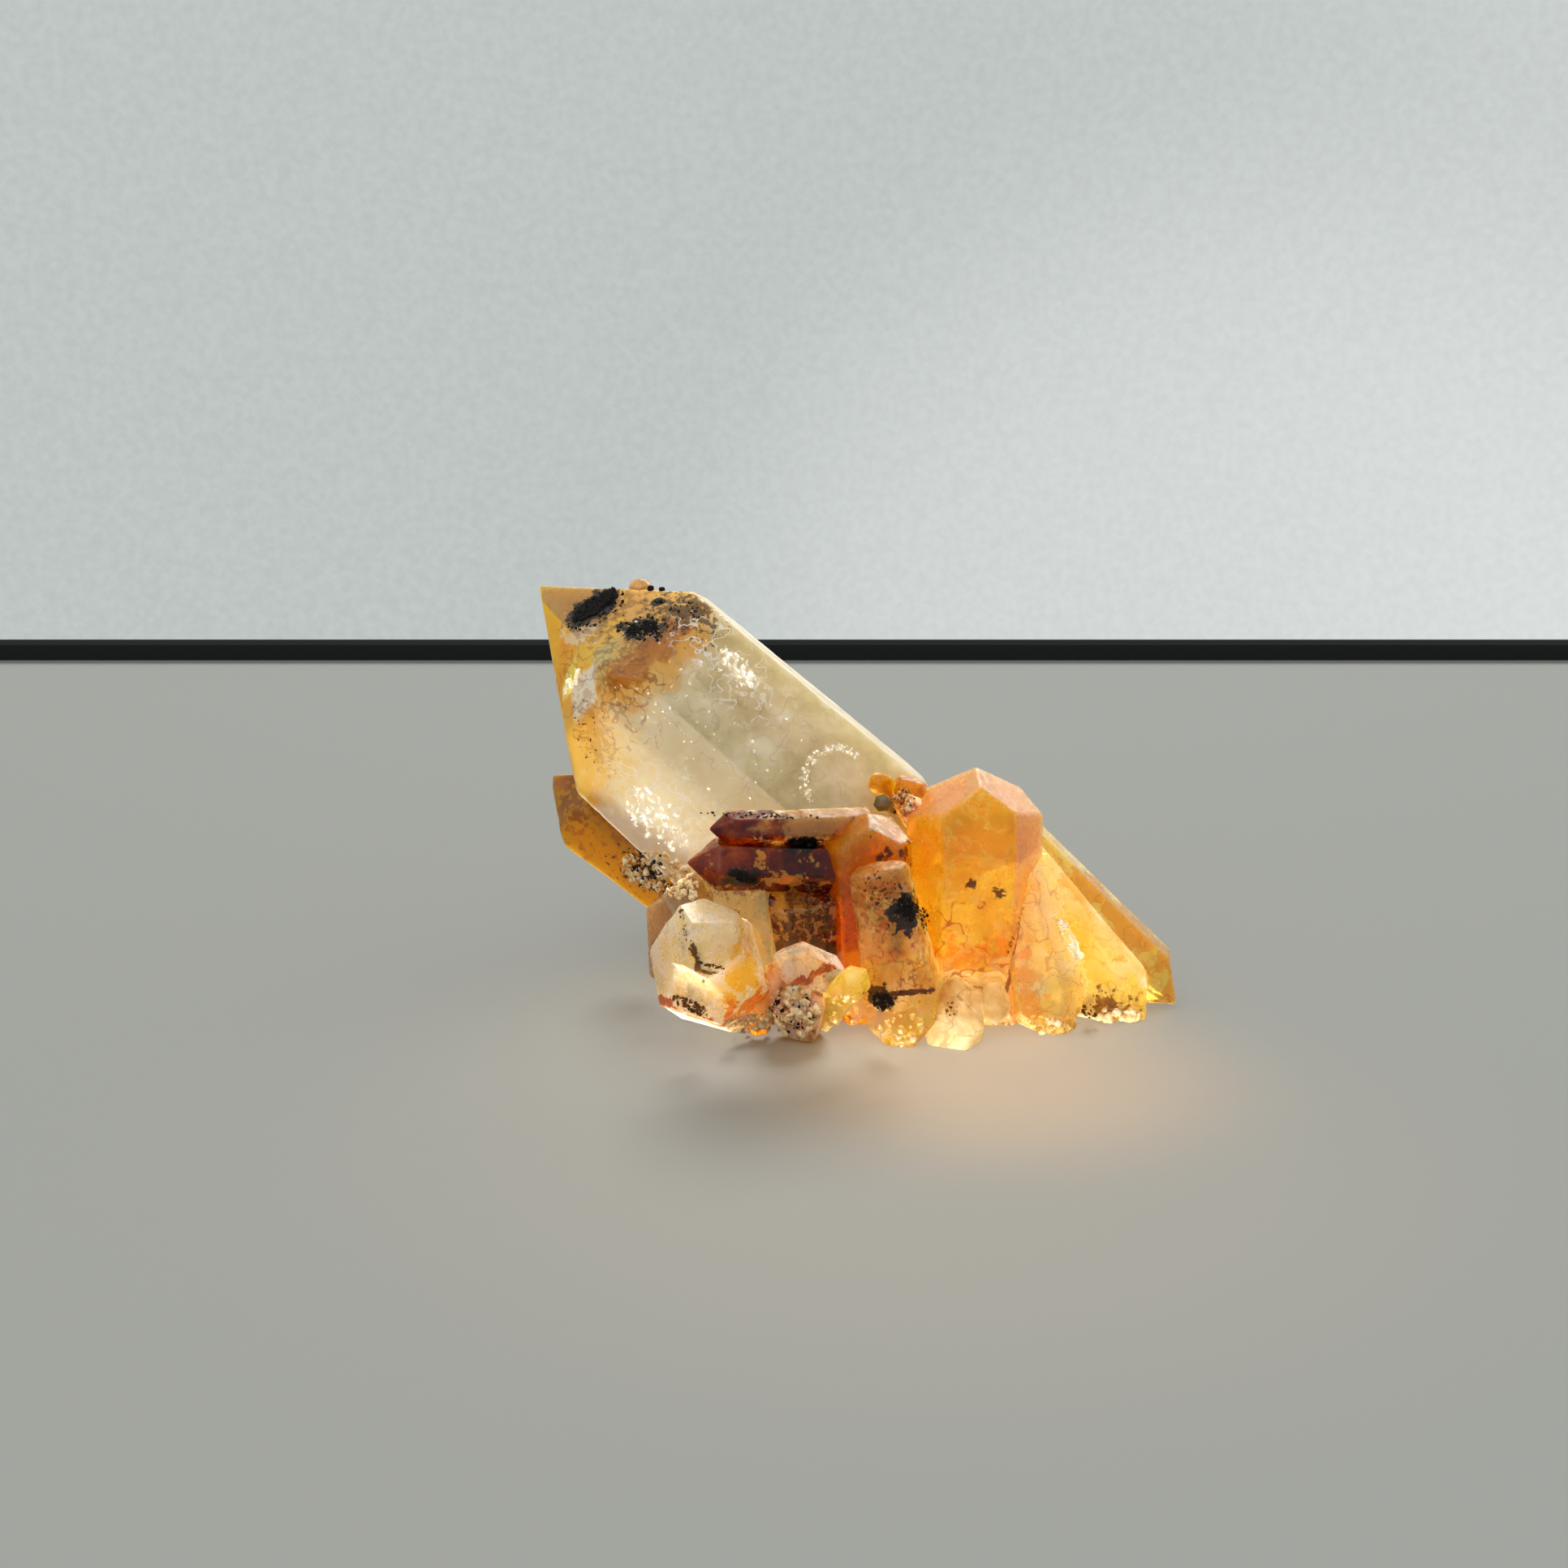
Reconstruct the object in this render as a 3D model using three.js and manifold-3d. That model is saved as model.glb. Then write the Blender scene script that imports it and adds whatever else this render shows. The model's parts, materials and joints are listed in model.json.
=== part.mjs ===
// A small quartz cluster of the golden, lithium-bearing kind, about 67 mm across.
//
// One large clear crystal leans up and back to the left. Two orange crystals stand upright in
// front of its foot, yellow ones point down to the right, stubby clear and peach ones sit at the
// left, dark red ones lie between them, and a fringe of small crystals runs along the foot.
// They grew into each other, so they are one solid.
//
// Units are millimetres. +Z is up, the front looks along -Y, and the origin is at the middle of
// the box around the cluster, on the surface that it stands on.
import * as THREE from "three";
import { ConvexGeometry } from "three/addons/geometries/ConvexGeometry.js";
import { mergeVertices } from "three/addons/utils/BufferGeometryUtils.js";
import Module from "manifold-3d";

const wasm = await Module();
wasm.setup();

// The normal of a quartz rhombohedral face stands this far from the long axis of its crystal.
const TIP_FACE_ANGLE = THREE.MathUtils.degToRad(51.8);
// A tip face with this setback lies beyond the others, so the crystal doesn't show it.
const ABSENT = 99;
// The ground that the cluster stands on cuts off all that would lie lower.
const GROUND_SLAB = 120;

const FRONT = new THREE.Vector3(0, -1, 0);

// Each crystal runs from its foot, which is buried in its neighbours, to its tip. Its half width
// is the distance from its axis to a prism face, one value or six. The first face looks to the
// front before the roll, in degrees, and the others follow to the right. Setbacks move the six
// tip faces out along the axis: 0 passes through the tip. Taper, in degrees, narrows the prism
// towards the tip, slope, in degrees, makes the tip faces steeper, and turns, in degrees, swing
// single tip faces round the axis. A crystal with rear setbacks has a point at its foot too.
const A = ABSENT;
const CRYSTALS = {
  clear_leaning: {
    foot: [5.5, 4, 7.2], tip: [-33.5, 10.4, 41], half: [12, 11.9, 11.5, 12, 13, 10.6],
    roll: 36, setbacks: [0.6, 1.8, 3, 3, -0.2, 0.8], taper: 2, turns: [0, 4, 0, 0, 8, 0],
    rear: [6, 4, 3, 4, 6, 8],
  },
  amber_behind: {
    foot: [-13.8, 9.4, 7], tip: [-33.3, 16.4, 19.8], half: 5, roll: 32, setbacks: [0, 0, 2, 2, 0, 1],
  },
  big_upright: {
    foot: [12.2, -8.6, 0.5], tip: [11.9, -9.1, 26.1], half: [3, 4.7, 7.5, 9, 7.5, 4.7],
    setbacks: [A, 0, A, 2, A, 0], slope: -14, turns: [0, 20, 0, 0, 0, -20],
  },
  small_upright: {
    foot: [2.4, -11.1, 1], tip: [1, -12.1, 22], half: [1.1, 3.2, 4.2, 6, 6, 3.4],
    setbacks: [A, 0, A, 2, A, 0], slope: -18, turns: [0, 15, 0, 0, 0, -15],
  },
  pale_column: {
    foot: [4.6, -13, 4], tip: [1.5, -14.2, 18.9], half: [2.8, 3.4, 3.4, 3, 3.2, 3],
    setbacks: [0.4, 0.2, 0, 0, 0, 0.1], slope: -32, roll: 12, taper: 4,
  },
  long_yellow: {
    foot: [15.2, 0.4, 17.5], tip: [33.4, -5.6, 0.6], half: [4, 3.4, 4, 4, 3.4, 4],
    roll: 32, setbacks: [0, 0, 2, 2, 0, 0],
  },
  flashing_yellow: {
    foot: [15.7, -2.6, 15.5], tip: [29.3, -9.1, 0.2], half: [3.2, 3.6, 3.4, 3.4, 3.4, 3.4], roll: 12,
    setbacks: [0, 1, 2, 2, 1, 0],
  },
  peach_low: {
    foot: [15.7, -4.6, 15.5], tip: [20.6, -12.6, -0.8], half: 3.8, roll: 10, setbacks: [0, 1, 2, 2, 1, 0],
  },
  stub_clear: {
    foot: [-13.3, -7.6, 4], tip: [-16.3, -19.1, 10.5], half: [5.4, 5.2, 5.6, 5.2, 5.4, 5.2],
    roll: 20, setbacks: [0, 3, 0.5, 3, 0, 3], slope: -10,
  },
  stub_core: {
    foot: [-13, -7.6, 5.6], tip: [-16, -21.6, 14.3], half: [3.4, 3.6, 3.6, 3.2, 3.4, 3.6],
    roll: 20, setbacks: [0, 3, 0.5, 3, 0.5, 3],
  },
  grey_behind_stub: {
    foot: [-15.4, -8.6, 1.5], tip: [-15.8, -9.6, 16.6], half: 5, roll: 10, setbacks: [0, 3, 0, 3, 0, 3],
    slope: -14, rear: [3, 0, 0, 0, 0, 0],
  },
  peach_gabled: {
    foot: [-10.6, -9.6, 1], tip: [-12.6, -8.6, 18.2], half: 4, roll: 8, setbacks: [0, 3, 4, 3, 0, 1],
    slope: -16,
  },
  red_upper: {
    foot: [1.2, -7.1, 20.4], tip: [-15, -12.1, 21.3], half: [1.7, 1.5, 1.7, 1.7, 1.5, 1.7], roll: 15,
  },
  red_lower: { foot: [2.2, -8.6, 16.2], tip: [-17.2, -12.6, 18], half: 2.4, roll: 25 },
  red_block: {
    foot: [-4.8, -5.6, 1], tip: [-6.3, -7.6, 17], half: 5.5, roll: 15, setbacks: [0, 3, 0, 3, 0, 3],
    slope: -20,
  },
  white_low: {
    foot: [-2.8, -11.6, 5.5], tip: [-8.4, -15.6, 9.4], half: 2.2, roll: 20, setbacks: [0, 1, 0, 1, 0, 1],
  },
  yellow_low: { foot: [-3.8, -12.1, 1.5], tip: [0.8, -16, 8.2], half: 1.6, roll: 10 },
  crust_low: {
    foot: [-7.3, -10.6, 7], tip: [-4.5, -15.2, -0.4], half: 2.7, roll: 25, setbacks: [0, 1, 0, 2, 0, 1],
  },
  amber_column: { foot: [0.2, -9.6, 8], tip: [0, -12.4, 0.8], half: 1.3, roll: 0 },
  foot_yellow: {
    foot: [4.6, -9.6, 6.5], tip: [4.3, -16.4, -1.4], half: 3.4, roll: 15, setbacks: [0, 1, 0, 1, 0, 1],
  },
  foot_white: {
    foot: [9.8, -9.1, 3.8], tip: [9.6, -17.6, -1.8], half: 2.9, roll: 30, setbacks: [0, 1, 0, 1, 0, 1],
  },
  foot_small: { foot: [13.8, -9.6, 5], tip: [13.8, -14.4, 1.4], half: 1.4, roll: 10 },
  foot_right: { foot: [20.2, -5.6, 8], tip: [26.8, -9, -0.6], half: 2.6, roll: 5 },
  root: {
    foot: [-12, 1.8, 2.6], tip: [13, 1.2, 2.6], half: [6, 5, 5.4, 7.2, 5.6, 5.2], roll: 6, slope: -20,
    setbacks: [0, 2, 1, 0, 2, 1], rear: [1, 0, 2, 1, 0, 2],
  },
  back_left: {
    foot: [-3.8, 6.4, 9], tip: [-13.8, 16.4, -2], half: 4.5, roll: 20,
    setbacks: [0, 1, 0, 1, 0, 1],
  },
  back_middle: {
    foot: [4.2, 4.4, 8], tip: [5.2, 19.4, 2], half: 4.2, roll: 5,
    setbacks: [0, 1, 0, 1, 0, 1],
  },
  back_right: {
    foot: [11.2, 0.4, 8], tip: [17.2, 12.4, -1.5], half: 3.8, roll: 12,
    setbacks: [0, 1, 0, 1, 0, 1],
  },
  back_upright: {
    foot: [10.2, 2.4, 3], tip: [13.7, 7.4, 19], half: 3.2, roll: 25,
    setbacks: [0, 2, 0, 2, 0, 2],
  },
  top_speck: { foot: [-22.6, 8.4, 41.4], tip: [-22.6, 8, 43.4], half: 1.2, roll: 30, slope: -18 },
  gold_blade: {
    foot: [5.2, -0.1, 20.5], tip: [1.4, -4.6, 25], half: [0.8, 1.3, 0.8, 0.8, 1.3, 0.8], roll: 20,
  },
  gold_lump: {
    foot: [6.8, -0.6, 19.5], tip: [4.6, -4.8, 24.6], half: 1.9, roll: 10,
    setbacks: [0, 1, 0, 1, 0, 1],
  },
  olive_cube: { foot: [3.6, -1.6, 20.8], tip: [2.4, -5.8, 22.4], half: 0.9, roll: 35, slope: -25 },
  cream_lump: {
    foot: [6.8, -2.6, 19.5], tip: [5.4, -6.6, 22.6], half: 1.4, roll: 5, setbacks: [0, 1, 0, 1, 0, 1],
  },
  orange_bead: { foot: [-8.6, -9, 3.4], tip: [-11.2, -13.6, 2.8], half: 1.4, roll: 10, slope: -8 },
  orange_chip: { foot: [-9, -9.4, 1.8], tip: [-10.4, -13.8, 0.3], half: 1.1, roll: 25, slope: -8 },
};

// A fan of lesser crystals covers the back of the foot, alternately raised and lowered.
const SPRAY = {
  centre: [5, 4, 7], count: 9, from: -12, to: 196,
  lengths: [15, 11, 17, 12, 14], halves: [2.9, 2.1, 3.3, 2.4, 2.7], lifts: [34, -18, 8, 46, -8],
};

// The corners of a convex solid: each point where three of its planes meet and that no other
// plane cuts off.
function cornersOf(planes) {
  const corners = [];
  const rows = new THREE.Matrix3();
  planes.forEach((a, i) =>
    planes.slice(i + 1).forEach((b, j) =>
      planes.slice(i + j + 2).forEach((c) => {
        rows.set(...a.normal.toArray(), ...b.normal.toArray(), ...c.normal.toArray());
        if (Math.abs(rows.determinant()) < 1e-6) return;
        const corner = new THREE.Vector3(-a.constant, -b.constant, -c.constant);
        corner.applyMatrix3(rows.invert());
        const inside = planes.every((plane) => plane.distanceToPoint(corner) < 1e-5);
        const fresh = corners.every((known) => known.distanceTo(corner) > 1e-3);
        if (inside && fresh) corners.push(corner);
      }),
    ),
  );
  return corners;
}

// A closed mesh as a solid that can be joined and cut.
function solidOf(geometry) {
  geometry.deleteAttribute("normal");
  geometry.deleteAttribute("uv");
  const merged = mergeVertices(geometry, 1e-4);
  return new wasm.Manifold(
    new wasm.Mesh({
      numProp: 3,
      vertProperties: merged.attributes.position.array,
      triVerts: new Uint32Array(merged.index.array),
    }),
  );
}

// The six tip faces at one end of a crystal.
function tipPlanes(end, axis, first, { roll, setbacks, slope, turns }) {
  const angle = TIP_FACE_ANGLE + THREE.MathUtils.degToRad(slope);
  return setbacks
    .map((setback, i) => {
      const turn = THREE.MathUtils.degToRad(roll + 60 * i + turns[i]);
      const face = first.clone().applyAxisAngle(axis, turn).multiplyScalar(Math.sin(angle));
      face.addScaledVector(axis, Math.cos(angle));
      const point = end.clone().addScaledVector(axis, setback);
      return new THREE.Plane().setFromNormalAndCoplanarPoint(face, point);
    })
    .filter((plane, i) => setbacks[i] !== ABSENT);
}

// One crystal: a six-sided prism with up to six faces at its tip, and a flat or pointed foot.
function quartz({
  foot,
  tip,
  half,
  roll = 0,
  setbacks = [0, 0, 0, 0, 0, 0],
  taper = 0,
  slope = 0,
  turns = [0, 0, 0, 0, 0, 0],
  rear,
}) {
  const start = new THREE.Vector3(...foot);
  const end = new THREE.Vector3(...tip);
  const axis = end.clone().sub(start).normalize();
  const back = axis.clone().negate();
  const first = FRONT.clone().addScaledVector(axis, -FRONT.dot(axis)).normalize();
  const lean = THREE.MathUtils.degToRad(taper);
  const planes = tipPlanes(end, axis, first, { roll, setbacks, slope, turns });
  if (rear) planes.push(...tipPlanes(start, back, first, { roll: -roll, setbacks: rear, slope, turns }));
  else planes.push(new THREE.Plane().setFromNormalAndCoplanarPoint(back, start));
  for (let i = 0; i < 6; i++) {
    const width = Array.isArray(half) ? half[i] : half;
    const outward = first.clone().applyAxisAngle(axis, THREE.MathUtils.degToRad(roll + 60 * i));
    const side = outward.clone().multiplyScalar(Math.cos(lean)).addScaledVector(axis, Math.sin(lean));
    const middle = start.clone().lerp(end, 0.5).addScaledVector(outward, width);
    planes.push(new THREE.Plane().setFromNormalAndCoplanarPoint(side, middle));
  }
  return solidOf(new ConvexGeometry(cornersOf(planes)));
}

function meshOf(solid, name, material) {
  const { vertProperties, triVerts } = solid.getMesh();
  const geometry = new THREE.BufferGeometry();
  geometry.setAttribute("position", new THREE.BufferAttribute(vertProperties, 3));
  geometry.setIndex(new THREE.BufferAttribute(triVerts, 1));
  geometry.computeVertexNormals();
  const mesh = new THREE.Mesh(geometry, material);
  mesh.name = name;
  return mesh;
}

// The crystals of the fan at the back, each turned on from the last.
function spray({ centre, count, from, to, lengths, halves, lifts }) {
  return Array.from({ length: count }, (_, i) => {
    const round = THREE.MathUtils.degToRad(from + ((to - from) * i) / (count - 1));
    const lift = THREE.MathUtils.degToRad(lifts[i % lifts.length]);
    const reach = lengths[i % lengths.length];
    const run = new THREE.Vector3(Math.cos(round), Math.sin(round), 0).multiplyScalar(Math.cos(lift));
    run.z = Math.sin(lift);
    const start = new THREE.Vector3(...centre);
    const end = start.clone().addScaledVector(run, reach);
    return quartz({
      foot: start.toArray(),
      tip: end.toArray(),
      half: halves[i % halves.length],
      roll: 17 * i,
      setbacks: [0, 1, 0, 1, 0, 1],
    });
  });
}

const aboveGround = solidOf(
  new THREE.BoxGeometry(GROUND_SLAB, GROUND_SLAB, GROUND_SLAB).translate(0, 0, GROUND_SLAB / 2),
);
const grown = [...Object.values(CRYSTALS).map(quartz), ...spray(SPRAY)].reduce((all, next) => all.add(next));

const goldenQuartz = new THREE.MeshStandardMaterial({
  color: "#e0a84e",
  roughness: 0.15,
  metalness: 0,
});

const cluster = new THREE.Group();
cluster.add(meshOf(grown.intersect(aboveGround), "quartz_cluster", goldenQuartz));

export default cluster;
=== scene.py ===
"""A small cluster of golden quartz crystals, on a grey table in soft light.

One large clear crystal leans up and back to the left. Two orange crystals stand in front of its
foot, yellow ones point down to the right, stubby clear and peach ones sit at the left and dark
red ones lie between them. Sizes are in millimetres and are turned to metres at the mesh.
"""
import json
import math
import bpy
import numpy as np
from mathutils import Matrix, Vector
from mathutils.bvhtree import BVHTree

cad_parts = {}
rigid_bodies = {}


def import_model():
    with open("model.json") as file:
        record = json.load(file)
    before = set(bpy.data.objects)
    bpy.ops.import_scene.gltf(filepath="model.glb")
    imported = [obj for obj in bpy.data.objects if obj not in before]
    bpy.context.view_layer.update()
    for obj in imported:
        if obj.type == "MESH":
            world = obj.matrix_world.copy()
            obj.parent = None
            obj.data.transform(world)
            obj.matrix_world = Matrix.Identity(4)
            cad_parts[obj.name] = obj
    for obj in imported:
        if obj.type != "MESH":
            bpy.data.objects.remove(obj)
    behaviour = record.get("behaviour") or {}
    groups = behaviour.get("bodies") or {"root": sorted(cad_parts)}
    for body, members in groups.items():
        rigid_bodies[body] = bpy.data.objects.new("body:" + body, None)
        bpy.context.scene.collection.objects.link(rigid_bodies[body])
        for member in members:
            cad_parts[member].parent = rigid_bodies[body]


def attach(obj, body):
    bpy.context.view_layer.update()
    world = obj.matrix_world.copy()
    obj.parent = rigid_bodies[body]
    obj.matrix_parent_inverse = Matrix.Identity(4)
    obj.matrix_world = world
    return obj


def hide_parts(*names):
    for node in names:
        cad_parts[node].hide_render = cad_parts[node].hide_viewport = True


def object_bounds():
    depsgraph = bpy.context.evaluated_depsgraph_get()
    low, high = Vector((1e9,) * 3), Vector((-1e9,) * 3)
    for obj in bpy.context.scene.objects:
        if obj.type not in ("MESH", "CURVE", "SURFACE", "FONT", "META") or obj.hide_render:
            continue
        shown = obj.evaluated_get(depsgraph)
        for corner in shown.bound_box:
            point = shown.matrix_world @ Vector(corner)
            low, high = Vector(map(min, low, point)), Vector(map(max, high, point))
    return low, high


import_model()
cad_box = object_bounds()
MM = 0.001

# ---------------------------------------------------------------- camera
# A long-lens view from a little above, square to the front of the cluster.
PICTURE_PX = 1932
FOCAL_PX = 2650
SENSOR_MM = 36
CAMERA_AT = (-7.4, -217.1, 77.0)
LOOKING_DOWN = 14

lens = bpy.data.cameras.new("camera")
lens.sensor_width = SENSOR_MM
lens.lens = SENSOR_MM * FOCAL_PX / PICTURE_PX
lens.clip_start = 0.01
camera = bpy.data.objects.new("camera", lens)
camera.location = [MM * c for c in CAMERA_AT]
camera.rotation_euler = (math.radians(90 - LOOKING_DOWN), 0, 0)
bpy.context.collection.objects.link(camera)
bpy.context.scene.camera = camera


# ---------------------------------------------------------------- table and light
# A matt grey laminate table top with a dark strip along its far edge: painted shade, standing in
# for the shadow in the gap between the table and the wall. A pale wall stands beyond it, and a low,
# soft window behind the crystals shines through them to the camera.
TABLE_COLOUR = "#7d7e7c"
TABLE_FRONT = -1500
TABLE_BACK = 190
TABLE_HALF_WIDTH = 1600
TABLE_THICKNESS = 20
TABLE_GRAIN = 0.7
GRAIN_DEPTH = 0.05
# Painted shade: the strip's dark colour stands in for the shadow in the gap between table and wall.
SHADOW_GAP_COLOUR = "#242627"
LIP_WIDTH = 6
LIP_HEIGHT = 3


def linear(colour):
    """The linear red, green, blue and alpha of an sRGB hex colour."""
    raw = np.array([int(colour[i : i + 2], 16) for i in (1, 3, 5)]) / 255
    flat = np.where(raw <= 0.04045, raw / 12.92, ((raw + 0.055) / 1.055) ** 2.4)
    return (*(float(c) for c in flat), 1.0)


def add(tree, kind, into=None, stops=(), **settings):
    """Adds one node. Settings are its properties, into maps its inputs to plain values or to the
    output sockets that feed them, and stops are the places and colours of its colour ramp."""
    made = tree.nodes.new("ShaderNode" + kind)
    for key, value in settings.items():
        setattr(made, key, value)
    for key, value in (into or {}).items():
        if isinstance(value, bpy.types.NodeSocket):
            tree.links.new(value, made.inputs[key])
        else:
            made.inputs[key].default_value = value
    for spare in range(2, len(stops)):
        made.color_ramp.elements.new(spare / len(stops))
    for element, (place, colour) in zip(made.color_ramp.elements if stops else (), stops):
        element.position = place
        element.color = linear(colour)
    return made


def new_material(name):
    """An empty node material, its tree and its output node."""
    material = bpy.data.materials.new(name)
    material.use_nodes = True
    material.node_tree.nodes.clear()
    return material, material.node_tree, add(material.node_tree, "OutputMaterial")


def mesh_object(name, points, faces, material, smooth=True):
    """A mesh object at the origin, from an array of points in millimetres."""
    mesh = bpy.data.meshes.new(name)
    mesh.from_pydata((points * MM).tolist(), [], faces)
    if smooth:
        mesh.shade_smooth()
    mesh.materials.append(material)
    made = bpy.data.objects.new(name, mesh)
    bpy.context.collection.objects.link(made)
    return made


def box(name, low, high, material):
    """A closed box between two corners: corner i takes x, y and z from the bits of i."""
    bits = np.arange(8)[:, None] >> np.arange(3) & 1
    sides = [(0, 2, 3, 1), (4, 5, 7, 6), (0, 1, 5, 4), (2, 6, 7, 3), (0, 4, 6, 2), (1, 3, 7, 5)]
    return mesh_object(name, np.where(bits, high, low).astype(float), sides, material, smooth=False)


# Pressed laminate: an even grey, matt, with a grain just fine enough to see.
laminate, tree, output = new_material("laminate_matt_grey")
place = add(tree, "TexCoord").outputs["Object"]
grain = add(tree, "TexNoise", {"Vector": place, "Scale": 1000 / TABLE_GRAIN, "Detail": 2})
grain = {"Height": grain.outputs["Fac"], "Strength": 0.1, "Distance": GRAIN_DEPTH * MM}
matt = {"Base Color": linear(TABLE_COLOUR), "Roughness": 0.9, "Specular IOR Level": 0.05}
matt["Normal"] = add(tree, "Bump", grain).outputs[0]
skin = add(tree, "BsdfPrincipled", matt)
tree.links.new(skin.outputs[0], output.inputs["Surface"])
# Painted shade: a dark strip without a shine, for the shadow in the gap behind the table.
shadow_gap_black, tree, output = new_material("painted_shadow_gap_black")
matt = {"Base Color": linear(SHADOW_GAP_COLOUR), "Roughness": 0.9, "Specular IOR Level": 0.05}
skin = add(tree, "BsdfPrincipled", matt)
tree.links.new(skin.outputs[0], output.inputs["Surface"])
left, right = -TABLE_HALF_WIDTH, TABLE_HALF_WIDTH
table_low = (left, TABLE_FRONT, -TABLE_THICKNESS)
lip_high = (right, TABLE_BACK + LIP_WIDTH, LIP_HEIGHT)
table_top = box("table_top", table_low, (right, TABLE_BACK, 0), laminate)
# The dark strip at the far edge is painted shade for the gap between table and wall.
box("table_shadow_gap_strip", (left, TABLE_BACK, -TABLE_THICKNESS), lip_high, shadow_gap_black)


def gathered(name, *objects):
    """A named group of objects for linking the light."""
    group = bpy.data.collections.new(name)
    for one in objects:
        group.objects.link(one)
    return group


# Lamps. A low, wide window behind the cluster is split in two, one for the crystals and one for
# the table. The two glows are the warm light that the crystals pass on to the table.
ON_TABLE = gathered("table", table_top)
ON_CLUSTER = gathered("cluster")
GLOW_RADIUS = 8
LAMPS = [
    dict(name="window_through", stands=(180, 630, 400), angle=40, power=4.7, colour="#fff8ee",
         lights=ON_CLUSTER, mirrored=False),
    dict(name="window_on_table", stands=(45, 640, 500), angle=22, power=4.7, colour="#fffef8",
         lights=ON_TABLE),
    dict(name="glow_near", stands=(16, -32, 90), aims=(13, -23, 0), cone=34, power=0.32,
         colour="#ffac00", lights=ON_TABLE, shade=ON_TABLE),
    dict(name="glow_wide", stands=(0, -60, 150), aims=(4, -40, 0), cone=44, power=0.2,
         colour="#ffb850", lights=ON_TABLE, shade=ON_TABLE),
]
for lamp in LAMPS:
    spot = "cone" in lamp
    light = bpy.data.lights.new(lamp["name"], "SPOT" if spot else "SUN")
    light.energy = lamp["power"]
    light.color = linear(lamp["colour"])[:3]
    if spot:
        light.spot_size = math.radians(lamp["cone"])
        light.spot_blend = 1
        light.shadow_soft_size = GLOW_RADIUS * MM
    else:
        light.angle = math.radians(lamp["angle"])
    stand = bpy.data.objects.new(lamp["name"], light)
    stand.location = Vector(lamp["stands"]) * MM
    aim = Vector(lamp.get("aims", (0, 0, 0))) - Vector(lamp["stands"])
    stand.rotation_euler = aim.to_track_quat("-Z", "Y").to_euler()
    stand.visible_camera = False
    stand.visible_glossy = lamp.get("mirrored", True)
    stand.light_linking.receiver_collection = lamp["lights"]
    stand.light_linking.blocker_collection = lamp.get("shade")
    bpy.context.collection.objects.link(stand)

# The room's light by direction: an even, pale wall with a faint grain, and round windows with
# soft edges. Azimuth, height and width are in degrees, and strength is the light a window adds.
WALL = "#bfc5c3"
WALL_GRAIN = 260
WALL_DARKEST, WALL_PALEST = 0.96, 1.04
WINDOWS = [
    dict(azimuth=75, height=5, width=150, strength=0.2, colour="#ffffff"),
    dict(azimuth=12, height=-12, width=36, strength=0.12, colour="#ffffff"),
    dict(azimuth=215, height=55, width=90, strength=1.2, colour="#fff9f2"),
]
world = bpy.data.worlds.new("room")
world.use_nodes = True
bpy.context.scene.world = world
tree = world.node_tree
tree.nodes.clear()
look = add(tree, "TexCoord").outputs["Generated"]
paint = add(tree, "TexNoise", {"Vector": look, "Scale": WALL_GRAIN, "Detail": 2}).outputs["Fac"]
paint = {"Value": paint, "From Min": 0.3, "From Max": 0.7}
paint |= {"To Min": WALL_DARKEST, "To Max": WALL_PALEST}
wall = {0: linear(WALL)[:3], "Scale": add(tree, "MapRange", paint).outputs["Result"]}
room = add(tree, "VectorMath", wall, operation="SCALE").outputs[0]
for window in WINDOWS:
    azimuth, height = math.radians(window["azimuth"]), math.radians(window["height"])
    level = math.cos(height)
    toward = (level * math.sin(azimuth), level * math.cos(azimuth), math.sin(height))
    facing = add(tree, "VectorMath", {0: look, 1: toward}, operation="DOT_PRODUCT")
    rim = math.cos(math.radians(window["width"] / 2))
    glow = {"Value": facing.outputs["Value"], "From Min": rim, "To Max": window["strength"]}
    glow = add(tree, "MapRange", glow, interpolation_type="SMOOTHERSTEP")
    glow = {0: linear(window["colour"])[:3], "Scale": glow.outputs["Result"]}
    glow = add(tree, "VectorMath", glow, operation="SCALE").outputs[0]
    room = add(tree, "VectorMath", {0: room, 1: glow}, operation="ADD").outputs[0]
sky = add(tree, "Background", {"Color": room})
output = add(tree, "OutputWorld")
tree.links.new(sky.outputs[0], output.inputs["Surface"])
bpy.context.scene.view_settings.view_transform = "Standard"


# ---------------------------------------------------------------- large clear crystal
# Rock crystal, six-sided with a six-faced point, and doubly ended. It grew first and leans up to
# the left. It is clear but clouded, and iron oxide has stained the skin of its point.
TIP_FACE_ANGLE = math.radians(51.8)
ABSENT = 99
FRONT = np.array([0.0, -1.0, 0.0])
LATTICE_START = 37.7
HASH_STEPS = np.array([127.1, 311.7, 74.7])
HASH_SEED_STEP = 19.19
HASH_SCALE = 43758.5453


def turned(vector, axis, degrees):
    """A vector turned about a unit axis, by Rodrigues' formula."""
    a = math.radians(degrees)
    across = np.cross(axis, vector)
    return vector * math.cos(a) + across * math.sin(a) + axis * (axis @ vector) * (1 - math.cos(a))


def tip_planes(end, axis, first, roll, setbacks, slope, turns):
    """Normals and points of the faces at one end. Each normal stands 51.8 degrees and the slope
    from the axis, and is turned on by 60 degrees and its own turn from the last."""
    angle = TIP_FACE_ANGLE + math.radians(slope)
    kept = [i for i in range(6) if setbacks[i] != ABSENT]
    looks = [turned(first, axis, roll + 60 * i + turns[i]) for i in kept]
    normals = [look * math.sin(angle) + axis * math.cos(angle) for look in looks]
    return normals, [end + axis * setbacks[i] for i in kept]


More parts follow.
